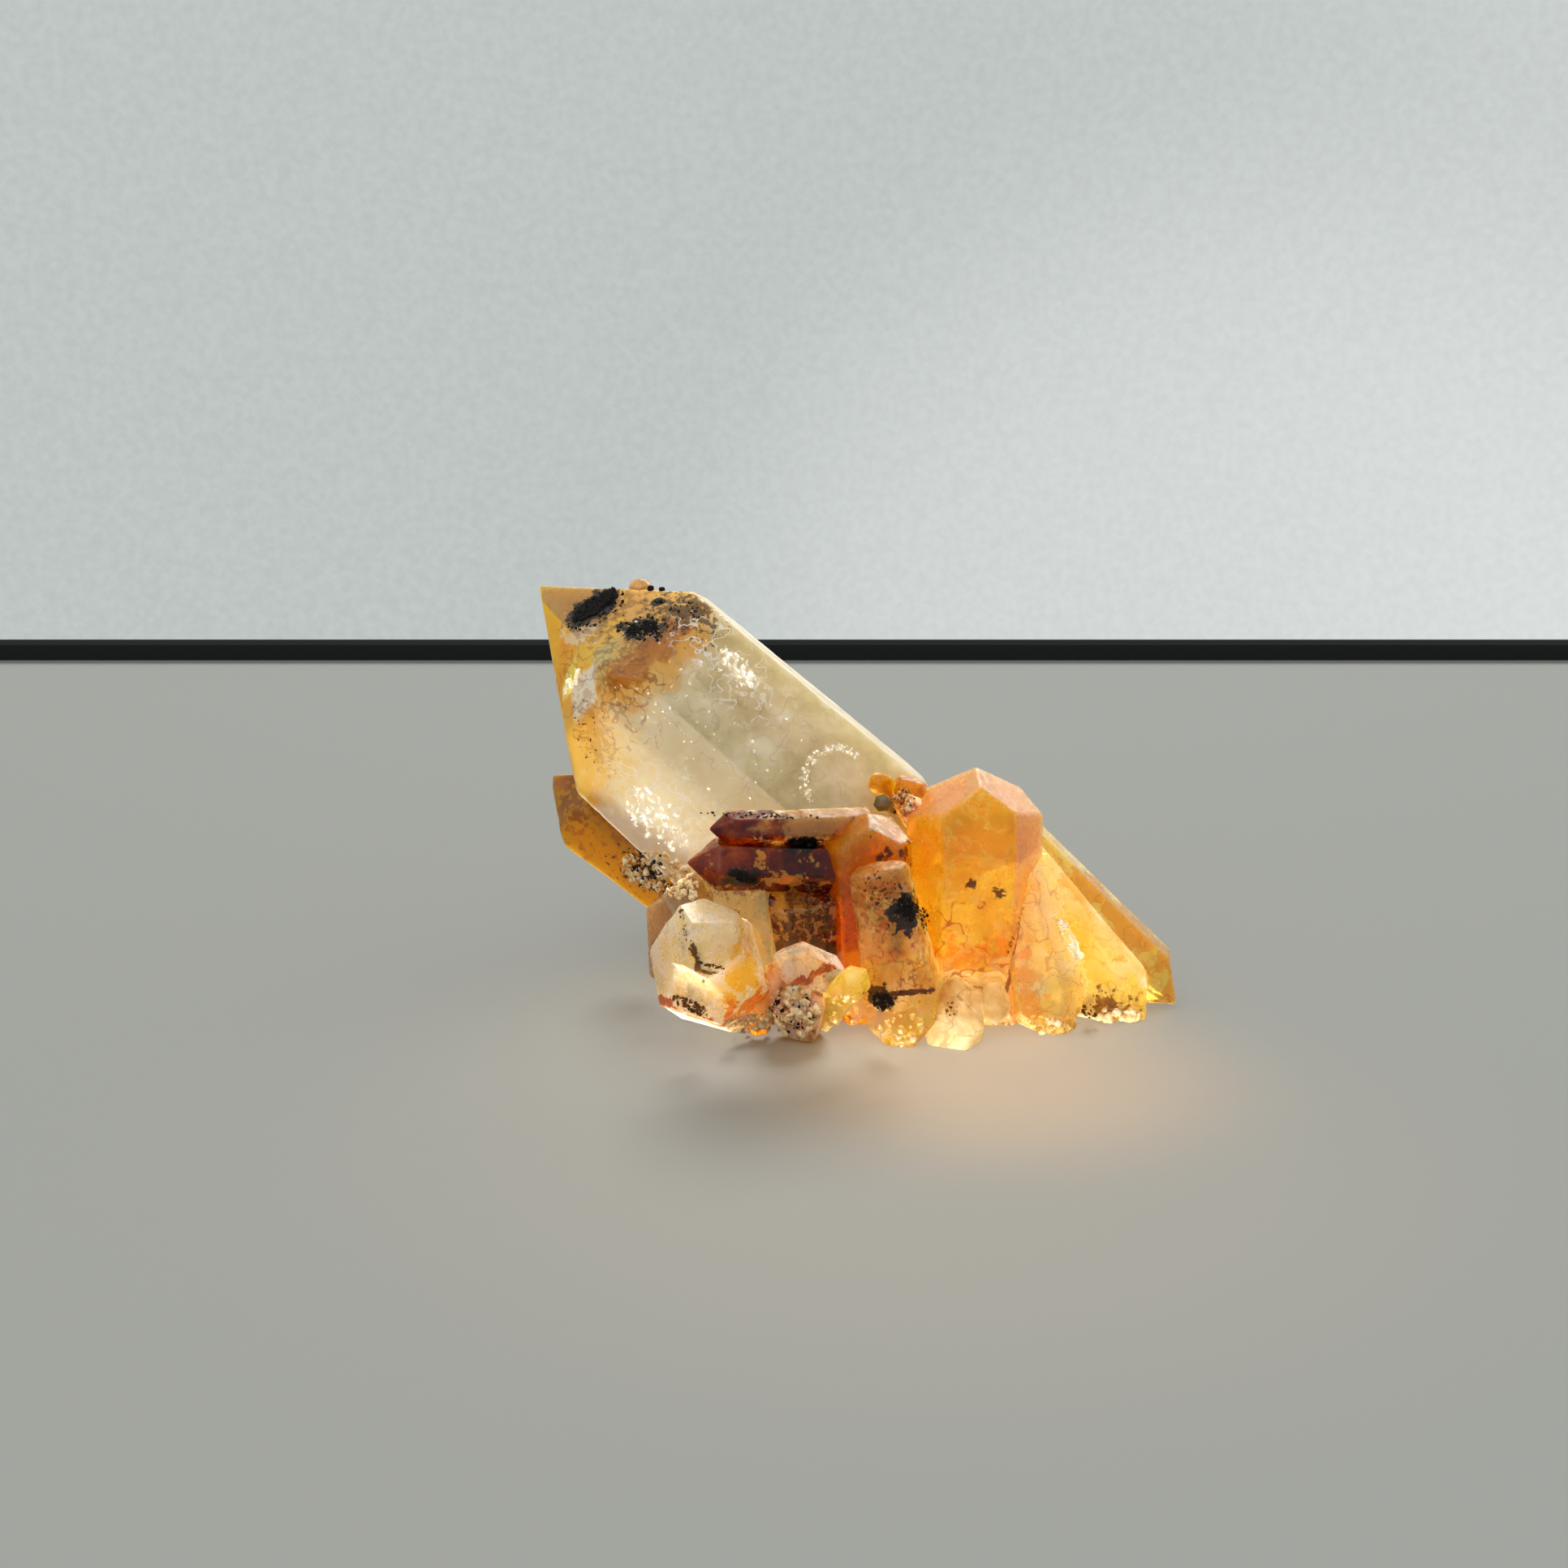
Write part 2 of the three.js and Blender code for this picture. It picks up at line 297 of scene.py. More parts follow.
def lumps(points, size, seed):
    """Smooth noise from -1 to 1: random values on a cubic lattice of the given size, blended in
    each cell with the weights 3f^2 - 2f^3. A value is a part of a large sine of its corner."""
    scaled = points / size + LATTICE_START
    cell = np.floor(scaled)
    f = scaled - cell
    f = f * f * (3 - 2 * f)
    total = 0
    for corner in range(8):
        step = np.array([corner & 1, corner >> 1 & 1, corner >> 2])
        key = (cell + step) @ HASH_STEPS + HASH_SEED_STEP * seed
        value = np.abs(np.sin(key) * HASH_SCALE) % 1
        total = total + value * np.prod(np.where(step, f, 1 - f), axis=-1)
    return 2 * total - 1


def globe(rows, columns):
    """Points and faces of a closed globe, (sin v cos u, sin v sin u, cos v): a pole, rows of
    columns points each, and the other pole. Quads join the rows, and triangles the poles."""
    v = np.linspace(0, math.pi, rows + 2)[1:-1, None]
    u = np.linspace(0, 2 * math.pi, columns, endpoint=False)[None, :]
    ball = np.stack([np.sin(v) * np.cos(u), np.sin(v) * np.sin(u), np.cos(v) + 0 * u], -1)
    ball = np.concatenate([[[0, 0, 1]], ball.reshape(-1, 3), [[0, 0, -1]]])
    grid = 1 + np.arange(rows * columns).reshape(rows, columns)
    beside = np.roll(grid, -1, axis=1)
    quads = np.stack([grid[:-1], grid[1:], beside[1:], beside[:-1]], -1).reshape(-1, 4)
    last = 0 * grid[0] + rows * columns + 1
    ends = (0 * grid[0], grid[0], beside[0]), (last, beside[-1], grid[-1])
    return ball, quads.tolist() + np.concatenate([np.stack(end, -1) for end in ends]).tolist()


# The skin of every crystal has low waves, growth ridges square to its axis, and pits. Each face
# takes its ridges from another part of the noise. Then come the fewest points of a grid, and what
# counts as nearly level with a plane and as far away.
WAVE_HEIGHT, WAVE_SIZE = 0.08, 4.0
RIDGE_HEIGHT, RIDGE_STEP, RIDGE_BEND, FACES_APART = 0.04, 0.7, 0.4, 9.0
PIT_SIZE, PIT_FROM = 1.1, 0.45
FEWEST_ROWS, FEWEST_COLUMNS = 16, 24
TINY, FAR_OFF = 1e-6, 1e6


def quartz(foot, tip, half, roll=0, setbacks=(0,) * 6, taper=0, slope=0, turns=(0,) * 6, rear=None,
           cell=0.3, edge=0.12, pit=0.1, seed=1):
    """One crystal as a closed grid of points, and its faces. Its six sides stand half away from
    its axis and lean in by the taper. Setbacks move the faces of its point outwards, slope and
    turns tilt and turn them, and rear gives its foot a point too. Pit is how deep its pits are.

    Rays fan out from its middle, evenly over an ellipsoid of its own length and width, and each
    stops at the first of its planes. The stops are joined by a soft minimum,
    -edge log(sum exp(-r / edge)), which wears the edges. Then the skin takes a little off."""
    start, end = np.array(foot, float), np.array(tip, float)
    length = np.linalg.norm(end - start)
    axis = (end - start) / length
    first = FRONT - axis * (axis @ FRONT)
    first /= np.linalg.norm(first)
    halves = np.broadcast_to(half, 6).astype(float)
    normals, marks = tip_planes(end, axis, first, roll, setbacks, slope, turns)
    if rear is None:
        normals.append(-axis)
        marks.append(start)
    else:
        back = tip_planes(start, -axis, first, -roll, rear, slope, turns)
        normals += back[0]
        marks += back[1]
    lean = math.radians(taper)
    for i in range(6):
        outward = turned(first, axis, roll + 60 * i)
        normals.append(outward * math.cos(lean) + axis * math.sin(lean))
        marks.append((start + end) / 2 + outward * halves[i])
    normals.append(np.array([0.0, 0.0, -1.0]))
    marks.append(np.zeros(3))
    normals, marks = np.array(normals), np.array(marks)

    middle = (start + end) / 2
    middle[2] = max(middle[2], 0.5 * halves.min())
    width = halves.mean()
    rows = int(max(FEWEST_ROWS, (length + 2 * width) / cell))
    columns = int(max(FEWEST_COLUMNS, 2 * math.pi * width / cell))
    ball, faces = globe(rows, columns)
    side = np.cross(axis, first)
    rays = ball * (width, width, 0.5 * length) @ np.array([first, side, axis])
    rays /= np.linalg.norm(rays, axis=1, keepdims=True)
    toward = rays @ normals.T
    reach = np.einsum("ij,ij->i", normals, marks - middle)
    stops = np.where(toward > TINY, reach / np.maximum(toward, TINY), FAR_OFF)
    nearest = stops.min(axis=1)
    r = nearest - edge * np.log(np.exp((nearest[:, None] - stops) / edge).sum(axis=1))
    flat = middle + rays * r[:, None]

    plane = stops.argmin(axis=1)
    on_side = (plane >= len(normals) - 7) & (plane < len(normals) - 1)
    low = lumps(flat, WAVE_SIZE, seed)
    along = (flat - start) @ axis + RIDGE_BEND * low
    ridges = lumps(np.stack([along, plane * FACES_APART, 0 * along], -1), RIDGE_STEP, seed + 1)
    pits = np.clip(lumps(flat, PIT_SIZE, seed + 2) - PIT_FROM, 0, 1) / (1 - PIT_FROM)
    loss = (WAVE_HEIGHT * (1 + low) + RIDGE_HEIGHT * on_side * (1 + ridges)) / 2 + pit * pits
    points = middle + rays * (r - loss)[:, None]
    points[:, 2] = np.maximum(points[:, 2], 0)
    return points, faces


def placed(made, casts=False):
    """The piece rides on the one body and stands for the node. The window lights it from behind,
    and it casts no shadow unless told to, so that what is in front is lit too."""
    ON_CLUSTER.objects.link(made)
    made.visible_shadow = casts
    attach(made, "root")
    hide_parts("quartz_cluster")


def cluster_piece(name, crystals, material, casts=False):
    """Crystals joined in one mesh object and placed on the cluster."""
    points, faces, count = [], [], 0
    for shape in crystals:
        its_points, its_faces = quartz(**shape)
        points.append(its_points)
        faces += [[corner + count for corner in one] for one in its_faces]
        count += len(its_points)
    placed(mesh_object(name, np.concatenate(points), faces, material), casts)


# The noises already in each tree. A noise mostly keeps between 0.4 and 0.6, so five times its
# distance from a half runs from about -0.5 to 0.5. A line has its full tone over the inner part
# of its width.
NOISES = {}
NOISE_SWING = 5
LINE_CORE = 0.4


def noise(tree, place, grain_mm, detail=4):
    """The cloud noise of one grain size, added to a tree only once."""
    key = tree.as_pointer(), grain_mm, detail
    if key not in NOISES:
        made = {"Vector": place, "Scale": 1000 / grain_mm, "Detail": detail, "Roughness": 0.6}
        NOISES[key] = add(tree, "TexNoise", made).outputs["Fac"]
    return NOISES[key]


def depth_inside(tree, place, at, size, along, rhomb):
    """How deep a place lies in an ellipsoid, 1 - |p|, or in a rhomb, 1 - |x| - |y| - |z|, with p
    counted from its middle in its half sizes and x running along the given direction."""
    turn = Vector(along).to_track_quat("X", "Z").to_euler()
    sizes = [one * MM for one in np.broadcast_to(size, 3)]
    middle = [one * MM for one in at]
    local = {"Vector": place, "Location": middle, "Rotation": turn, "Scale": sizes}
    local = add(tree, "Mapping", local, vector_type="TEXTURE").outputs[0]
    if rhomb:
        local = add(tree, "VectorMath", {0: local}, operation="ABSOLUTE").outputs[0]
        reach = add(tree, "VectorMath", {0: local, 1: (1, 1, 1)}, operation="DOT_PRODUCT")
    else:
        reach = add(tree, "VectorMath", {0: local}, operation="LENGTH")
    return add(tree, "Math", {0: 1.0, 1: reach.outputs["Value"]}, operation="SUBTRACT").outputs[0]


def depth_beyond(tree, place, way, start, size):
    """How far a place lies past a distance from the origin along a way, counted in sizes."""
    way = tuple(one / (size * MM) for one in Vector(way).normalized())
    reach = add(tree, "VectorMath", {0: place, 1: way}, operation="DOT_PRODUCT").outputs["Value"]
    return add(tree, "Math", {0: reach, 1: start / size}, operation="SUBTRACT").outputs[0]


def kept_where(tree, mask, value, off, on):
    """A mask times a smooth step of a value, from nothing at off to all of it at on."""
    step = {"Value": value, "From Min": off, "From Max": on}
    step = add(tree, "MapRange", step, interpolation_type="SMOOTHSTEP").outputs["Result"]
    return add(tree, "Math", {0: mask, 1: step}, operation="MULTIPLY").outputs[0]


def stained(tree, place, under, tone, at=None, size=1, along=(1, 0, 0), beyond=None, toward=None,
            spread=(0.6, 0.8), grain=1.4, ragged=0.4, soft=0.15, amount=1.0, rhomb=False,
            lines=None, thin=0.025):
    """The colour under it, mixed with a stain's tone. The stain fills an ellipsoid or a rhomb of
    the given half sizes around a point, its first size lying along a direction, or all that is
    beyond a distance in a direction. Noise makes its edge ragged. It may keep to faces that look
    toward a direction, and to lines, which run where noise of the given grain crosses its middle
    and are as wide as thin says."""
    mask = amount
    if at is not None or beyond is not None:
        if beyond is None:
            depth = depth_inside(tree, place, at, size, along, rhomb)
        else:
            depth = depth_beyond(tree, place, *beyond, size)
        swing = NOISE_SWING * ragged
        rough = {0: noise(tree, place, grain), 1: swing, 2: -0.5 * swing}
        rough = add(tree, "Math", rough, operation="MULTIPLY_ADD").outputs[0]
        depth = add(tree, "Math", {0: depth, 1: rough}).outputs[0]
        within = {"Value": depth, "From Min": -soft, "From Max": soft, "To Max": amount}
        mask = add(tree, "MapRange", within, interpolation_type="SMOOTHSTEP").outputs["Result"]
    if toward is not None:
        normal = add(tree, "TexCoord").outputs["Normal"]
        way = tuple(Vector(toward).normalized())
        facing = add(tree, "VectorMath", {0: normal, 1: way}, operation="DOT_PRODUCT")
        mask = kept_where(tree, mask, facing.outputs["Value"], *spread)
    if lines is not None:
        smooth = noise(tree, place, lines, detail=2)
        off = add(tree, "Math", {0: smooth, 1: 0.5}, operation="SUBTRACT").outputs[0]
        off = add(tree, "Math", {0: off}, operation="ABSOLUTE").outputs[0]
        mask = kept_where(tree, mask, off, thin, LINE_CORE * thin)
    mixed = {0: mask, 6: under, 7: linear(tone)}
    return add(tree, "Mix", mixed, data_type="RGBA").outputs[2]


def film(tone, **where):
    """A stain of one tone, and where it lies, in the words of stained()."""
    return dict(where, tone=tone)


def patch(tone, at, size, **where):
    """A stain of one tone round a point, with its half sizes."""
    return film(tone, at=at, size=size, **where)


# All the quartz: a glassy skin with a fine grain, and a glow that is yellower the further the
# light has gone inside.
QUARTZ_IOR = 1.544
SKIN_GRAIN = 0.9
SKIN_GRAIN_RANGE = (0.35, 0.7)
SKIN_STRENGTH = 0.5
GLOW_BY_COLOUR = (1.0, 0.92, 0.6)
COAT_SHARE = 0.7
COAT_ROUGHNESS = 0.12


def grown_quartz(name, stops, tint, depth_mm, clear=0.5, glow_mm=5, cloud_mm=5, rough=(0.1, 0.4),
                 bump_mm=0.03, gloss=0.3, stains=()):
    """Quartz with clouds: noise runs through the colour stops, and the stains lie over it. Clear
    is the share of light that goes straight through, and the rest scatters inside, over about
    glow_mm. The tint is what is left of white light after depth_mm of the crystal."""
    material, tree, output = new_material(name)
    place = add(tree, "TexCoord").outputs["Object"]
    colour = {"Fac": noise(tree, place, cloud_mm)}
    colour = add(tree, "ValToRGB", colour, stops=stops).outputs[0]
    for stain in stains:
        colour = stained(tree, place, colour, **stain)
    fine = noise(tree, place, SKIN_GRAIN)
    relief = {"Height": fine, "Strength": SKIN_STRENGTH, "Distance": bump_mm * MM}
    dull = {"Value": fine, "From Min": SKIN_GRAIN_RANGE[0], "From Max": SKIN_GRAIN_RANGE[1]}
    dull |= {"To Min": rough[0], "To Max": rough[1]}
    skin = {
        "Base Color": colour,
        "Roughness": add(tree, "MapRange", dull).outputs[0],
        "IOR": QUARTZ_IOR,
        "Specular IOR Level": gloss,
        "Transmission Weight": clear,
        "Subsurface Weight": 1.0,
        "Subsurface Radius": GLOW_BY_COLOUR,
        "Subsurface Scale": glow_mm * MM,
        "Coat Weight": COAT_SHARE * gloss,
        "Coat Roughness": COAT_ROUGHNESS,
        "Normal": add(tree, "Bump", relief).outputs[0],
    }
    skin = add(tree, "BsdfPrincipled", skin)
    inside = {"Color": linear(tint), "Density": 1000 / depth_mm}
    inside = add(tree, "VolumeAbsorption", inside)
    tree.links.new(skin.outputs[0], output.inputs["Surface"])
    tree.links.new(inside.outputs[0], output.inputs["Volume"])
    return material


CLEAR_LEANING = dict(
    foot=(5.5, 4, 7.2), tip=(-33.5, 10.4, 41), half=(12, 11.9, 11.5, 12, 13, 10.6), roll=36,
    setbacks=(0.6, 1.8, 3, 3, -0.2, 0.8), taper=2, turns=(0, 4, 0, 0, 8, 0),
    rear=(6, 4, 3, 4, 6, 8), cell=0.28,
)
MAIN_AXIS = np.subtract(CLEAR_LEANING["tip"], CLEAR_LEANING["foot"])
OXIDE = "#14100c"
# Painted light: the faces that look to the front and down are painted paler, and the narrow face at
# the left edge a strong yellow. Then tan, honey and white films on the point, rhomb-shaped scars
# with pale and yellow edges, one with a yellow flash painted on as a highlight, brown films, black
# oxide under its grains, and fine veils, the white ones painted bright for their sparkle too.
POINT_STAINS = [
    # Painted light: the faces that look to the front and down are painted paler.
    film("#fff8e2", toward=(-0.35, -0.9, -0.23), spread=(0.8, 0.95), amount=0.7),
    film("#f0c058", beyond=(MAIN_AXIS, 38.8), size=2.5, ragged=1.0, grain=2.6, soft=0.6,
         amount=0.85),
    film("#a86c10", beyond=(MAIN_AXIS, 39), size=4, lines=3.7, thin=0.02, amount=0.25),
    # Painted light: the narrow face at the left edge is painted a strong yellow, as if the window
    # lit it.
    film("#ffc400", toward=(-0.75, -0.63, 0.22), spread=(0.88, 0.95), amount=0.95),
    patch("#f4ac08", (-29.5, 1, 29), (9, 5, 2.6), along=(3, 0, -13), soft=0.4, ragged=0.5, grain=3),
    patch("#efc65a", (-27.5, 0, 26), (5, 4, 5), soft=0.7, amount=0.7),
    patch("#ffd24a", (-26.4, 2, 37.6), (4.4, 3, 1.1), along=(4, 2, 4), ragged=0.6, amount=0.9),
    patch("#fff2dc", (-28.4, 3, 38.4), (2.6, 3, 0.9), along=(4, 2, 3), ragged=0.9, amount=0.7),
    patch("#d6cc88", (-24.5, -0.3, 36.3), (5.4, 4, 2.8), along=(-4, -3, -4), rhomb=True,
          ragged=0.1),
    patch("#eeb430", (-21.4, -1.4, 35.6), (8, 4, 2.6), along=(6, 3, 5), ragged=0.5, grain=2.2,
          soft=0.5, amount=0.8),
    patch("#b86c00", (-21.3, -1.4, 36.8), (7.5, 3, 1.2), along=(6, 3, 5), ragged=0.6, grain=2.2,
          soft=0.3),
    patch("#7a3c00", (-21.4, -1.4, 36), (8, 4, 3), along=(6, 3, 5), lines=2.3, thin=0.03,
          amount=0.7),
    patch("#fffcf0", (-28.2, 0.2, 32.8), (3.9, 4, 2.6), along=(0.6, -1, 4), rhomb=True, ragged=0.1),
    # Painted highlight: a yellow flash along one rhomb scar.
    patch("#ffef60", (-29.8, 2.3, 33.4), (3.4, 3, 0.8), along=(1, 0, 3), rhomb=True, ragged=0.1),
    patch("#9a5c08", (-27, 0, 33), (9, 6, 6), lines=3.1, grain=0.9, amount=0.5),
    film("#5c3a10", beyond=(MAIN_AXIS, 44), size=5, grain=0.9, ragged=1.4, soft=0.3, amount=0.5,
         toward=(-0.2, -0.56, 0.8), spread=(0.85, 0.95)),
    patch(OXIDE, (-27.4, 6.6, 40.4), (3.4, 2.5, 1.1), along=(4.6, 2.5, 3), grain=1.2),
    patch(OXIDE, (-22.1, 2.3, 38.9), (2.2, 1.5, 0.9), ragged=1.3, grain=0.9),
    patch(OXIDE, (-20.5, 4.9, 41.2), (0.9, 0.8, 0.4), along=(3, 0, 1)),
    patch(OXIDE, (-17.4, 3, 40.6), (3.2, 2.4, 2.2), ragged=1.4, grain=0.6, amount=0.8),
    patch("#a06000", (-27, -0.2, 28.8), (4.2, 2.6, 1.4), along=(1, 0, -4), ragged=1.0, grain=0.6,
          amount=0.4),
    # Veils of fractures painted white, which also paint on their sparkle.
    patch("#ffffff", (-13.5, 0.4, 35.2), (9, 4, 3), along=(4, 0, -4), lines=2.3, soft=0.5),
    patch("#ffffff", (-19, -4, 19), (9, 7, 5), along=(4, 0, -4), lines=1.7, thin=0.035, soft=0.5),
    patch("#8d8466", (-10, -2, 28), (18, 10, 9), along=(4, 0, -3.6), lines=4.3, thin=0.01, soft=0.5,
          amount=0.25),
]
# Rock crystal clouded by tiny bubbles and healed cracks: milky and glowing, hardly mirroring.
clouded = grown_quartz(
    "rock_crystal_clouded", [(0.35, "#c2b78c"), (0.5, "#ddd2ac"), (0.68, "#f8f2dc")],
    tint="#f4e4b4", depth_mm=40, glow_mm=10, rough=(0.35, 0.6), stains=POINT_STAINS,
)
cluster_piece("clear_leaning_crystal", [CLEAR_LEANING], clouded)

# ---------------------------------------------------------------- amber crystal behind
# A smoky amber crystal that points out to the left behind the clear one, smooth above and
# rough with small growth below, coloured by iron.
AMBER = dict(
    foot=(-13.8, 9.4, 7), tip=(-33.3, 16.4, 19.8), half=5, roll=32, setbacks=(0, 0, 2, 2, 0, 1),
    seed=3,
)
# Smoky quartz under an iron-stained, etched skin: brown honey, matt, darker in patches.
amber = grown_quartz(
    "quartz_stained_amber", [(0.35, "#905400"), (0.65, "#c07c00")], tint="#cc8800", depth_mm=10,
    glow_mm=7, cloud_mm=3, rough=(0.4, 0.7), gloss=0.15,
    stains=[
        patch("#c88800", (-24, 8, 9), (12, 9, 5), along=(5, 0, -4), ragged=1.2, grain=0.9),
        patch("#2c1405", (-21.5, 7, 11.5), (2.6, 3, 2), ragged=1.4, grain=0.6),
    ],
)
cluster_piece("amber_crystal_behind", [AMBER], amber)

# ---------------------------------------------------------------- orange uprights
# Two stout upright crystals in front, orange-yellow inside, with paler peach painted on side faces
# to the right and on the faces of their points. The big one has a paler foot.
BIG_UPRIGHT = dict(
    foot=(12.2, -8.6, 0.5), tip=(11.9, -9.1, 26.1), half=(3, 4.7, 7.5, 9, 7.5, 4.7),
    setbacks=(ABSENT, 0, ABSENT, 2, ABSENT, 0), slope=-14, turns=(0, 20, 0, 0, 0, -20), seed=5,
)
SMALL_UPRIGHT = dict(
    foot=(2.4, -11.1, 1), tip=(1, -12.1, 22), half=(1.1, 3.2, 4.2, 6, 6, 3.4),
    setbacks=(ABSENT, 0, ABSENT, 2, ABSENT, 0), slope=-18, turns=(0, 15, 0, 0, 0, -15), seed=6,
)
UP, DOWN = (0, 0, 1), (0, 0, -1)
# Quartz grown full of iron: clear and glossy in front, so the light makes it glow orange-yellow.
big_orange = grown_quartz(
    "quartz_stained_orange", [(0.35, "#ecc020"), (0.65, "#f4da50")], tint="#ffe264", depth_mm=16,
    clear=0.62, glow_mm=15, cloud_mm=6, rough=(0.12, 0.35),
    stains=[
        film("#f2a41c", beyond=(UP, 17), size=4, soft=0.6, amount=0.6),
        patch("#f4a408", (9, -12, 6), (5, 4, 3), ragged=0.8),
        patch("#f0a008", (15.6, -12, 9.5), (2, 3, 2.6), ragged=0.8),
        film("#f2d08c", beyond=(DOWN, -7), size=1.5, ragged=0.9, soft=0.4),
        patch("#b8741c", (12, -12, 8), (8, 4, 7), lines=4.9, thin=0.012),
        patch("#ffe890", (11, -12, 16), (7, 4, 10), lines=3.7, thin=0.03, amount=0.4),
        film("#eeb070", toward=(0.87, -0.5, 0), spread=(0.65, 0.85), amount=0.9),
        film("#eeb478", toward=(0, -0.1, 1), spread=(0.5, 0.7), amount=0.9),
        patch("#3a1d06", (11.2, -11.9, 15.6), (0.5, 1, 0.4), ragged=0.7, grain=0.6),
        patch("#3a1d06", (14, -11.9, 14.5), (0.6, 1, 0.6), ragged=0.9, grain=0.6),
        patch("#7a4a1c", (15.9, -12, 8.6), (7, 1.5, 0.25), along=(1.2, 0, 6), ragged=0.5,
              grain=0.9),
    ],
)
# The same with more iron: it glows a deep red-orange, and the faces of its top are painted paler.
small_orange = grown_quartz(
    "quartz_stained_deep_orange", [(0.35, "#e46c00"), (0.65, "#f48c00")], tint="#f89010",
    depth_mm=12, clear=0.62, glow_mm=16, gloss=0.15,
    stains=[
        film("#eaa870", toward=(0.3, -0.4, 0.9), spread=(0.72, 0.85)),
        patch("#5a2408", (3.6, -14, 14), (1.6, 3, 5), ragged=1.2),
        patch("#a04008", (0, -14, 16), (6, 4, 7), lines=2.3, amount=0.4),
    ],
)
cluster_piece("big_orange_upright", [BIG_UPRIGHT], big_orange)
cluster_piece("small_orange_upright", [SMALL_UPRIGHT], small_orange)

# ---------------------------------------------------------------- pale column
# A worn, round-topped tan crystal in front of the small upright. Iron oxide has mottled it and
# left black patches on it.
PALE_COLUMN = dict(
    foot=(4.6, -13, 4), tip=(1.5, -14.2, 18.9), half=(2.8, 3.4, 3.4, 3, 3.2, 3),
    setbacks=(0.4, 0.2, 0, 0, 0, 0.1), slope=-32, roll=12, taper=4, seed=7, edge=0.4, pit=0.3,
    cell=0.2,
)
# Quartz with a worn, stained skin: warm and soft to the eye, with brown veins.
tan = grown_quartz(
    "quartz_stained_tan", [(0.3, "#b08428"), (0.5, "#dcb458"), (0.7, "#f0d898")], tint="#f4cc70",
    depth_mm=20, glow_mm=12, cloud_mm=3,
    stains=[
        film("#a85c08", beyond=(UP, 14.5), size=3, ragged=1.2, amount=0.6),
        patch("#8a4c14", (2, -16, 10), (6, 4, 9), lines=1.9, amount=0.7),
        patch("#1a0c05", (5, -16, 13.9), (2.2, 3, 1.9), ragged=1.0, grain=0.9),
        patch("#1a0c05", (2.2, -16, 5), (1.6, 3, 1.1), ragged=0.8, grain=0.9),
        patch("#3a1a06", (3.5, -16, 5.7), (5, 3, 0.3), ragged=0.6, grain=0.9),
    ],
)
cluster_piece("pale_column", [PALE_COLUMN], tan)

# ---------------------------------------------------------------- yellow fan
# Three crystals that fan out down to the right: a long amber-yellow one, a clearer one with a
# bright flash inside, painted on as a highlight over bright fracture flakes, and a frosted peach
# one.
LONG_YELLOW = dict(
    foot=(15.2, 0.4, 17.5), tip=(33.4, -5.6, 0.6), half=(4, 3.4, 4, 4, 3.4, 4), roll=32,
    setbacks=(0, 0, 2, 2, 0, 0), seed=8,
)
FLASHING_YELLOW = dict(
    foot=(15.7, -2.6, 15.5), tip=(29.3, -9.1, 0.2), half=(3.2, 3.6, 3.4, 3.4, 3.4, 3.4), roll=12,
    setbacks=(0, 1, 2, 2, 1, 0), seed=9,
)
PEACH_LOW = dict(
    foot=(15.7, -4.6, 15.5), tip=(20.6, -12.6, -0.8), half=3.8, roll=10,
    setbacks=(0, 1, 2, 2, 1, 0), seed=10,
)
# Lightly stained quartz with natural faces: bright yellow, clear in parts and glossy.
yellow = grown_quartz(
    "quartz_stained_yellow", [(0.35, "#e4be40"), (0.5, "#eed46c"), (0.68, "#f6e8ac")],
    tint="#fbe27c", depth_mm=20, clear=0.55, glow_mm=10, cloud_mm=4, rough=(0.05, 0.35),
    stains=[
        patch("#e0a42c", (31, -5, 6), (12, 4, 3), along=(1, 0, -1), ragged=0.9, grain=3),
        # Painted highlight: the bright flash inside the clearer fan crystal.
        patch("#fffbd0", (20.6, -10, 9), (4, 3, 1.1), along=(1, 0, -1.2), ragged=0.5),
        patch("#6e430a", (25.4, -10, 1.6), (2.2, 3, 1.6), ragged=1.2, grain=0.9),
        patch("#a4700c", (25, -5, 8), (16, 9, 8), along=(1, 0, -1), lines=3.5, thin=0.014,
              amount=0.45),
    ],
)
# Quartz with an etched skin: frosted, pale peach to yellow, with fine brown cracks.
peach = grown_quartz(
    "quartz_frosted_peach", [(0.35, "#f0cc60"), (0.5, "#f6da88"), (0.65, "#fae8b4")],
    tint="#fcecac", depth_mm=24, glow_mm=12, cloud_mm=3, rough=(0.2, 0.5),
    stains=[
        # Painted light: the faces of the gabled crystal that look right and to the front are
        # painted a bright pale peach, as if lit.
        patch("#ffdc94", (-8, -12, 12), 8, toward=(0.75, -0.6, 0.1), amount=0.9),
        patch("#a06818", (19, -9, 7), (9, 7, 11), lines=3.9, thin=0.014, amount=0.5),
        patch("#f0b040", (16, -10, 3), (3, 5, 5), ragged=0.9, amount=0.8),
        patch("#8a4a14", (-12, -9, 16), (6, 6, 1), ragged=1.6, grain=0.6, amount=0.6),
    ],
)
cluster_piece("yellow_fan", [LONG_YELLOW, FLASHING_YELLOW], yellow)
cluster_piece("peach_low_crystal", [PEACH_LOW], peach)

# ---------------------------------------------------------------- stubs at the left
# A short, clear crystal broken and healed in steps, which points at the viewer, with a greyish
# prism behind it and a frosted peach crystal with a gable beside it.


def uneven(step):
    """Setbacks of a point whose three large faces take turns with three smaller ones."""
    return (0, step) * 3


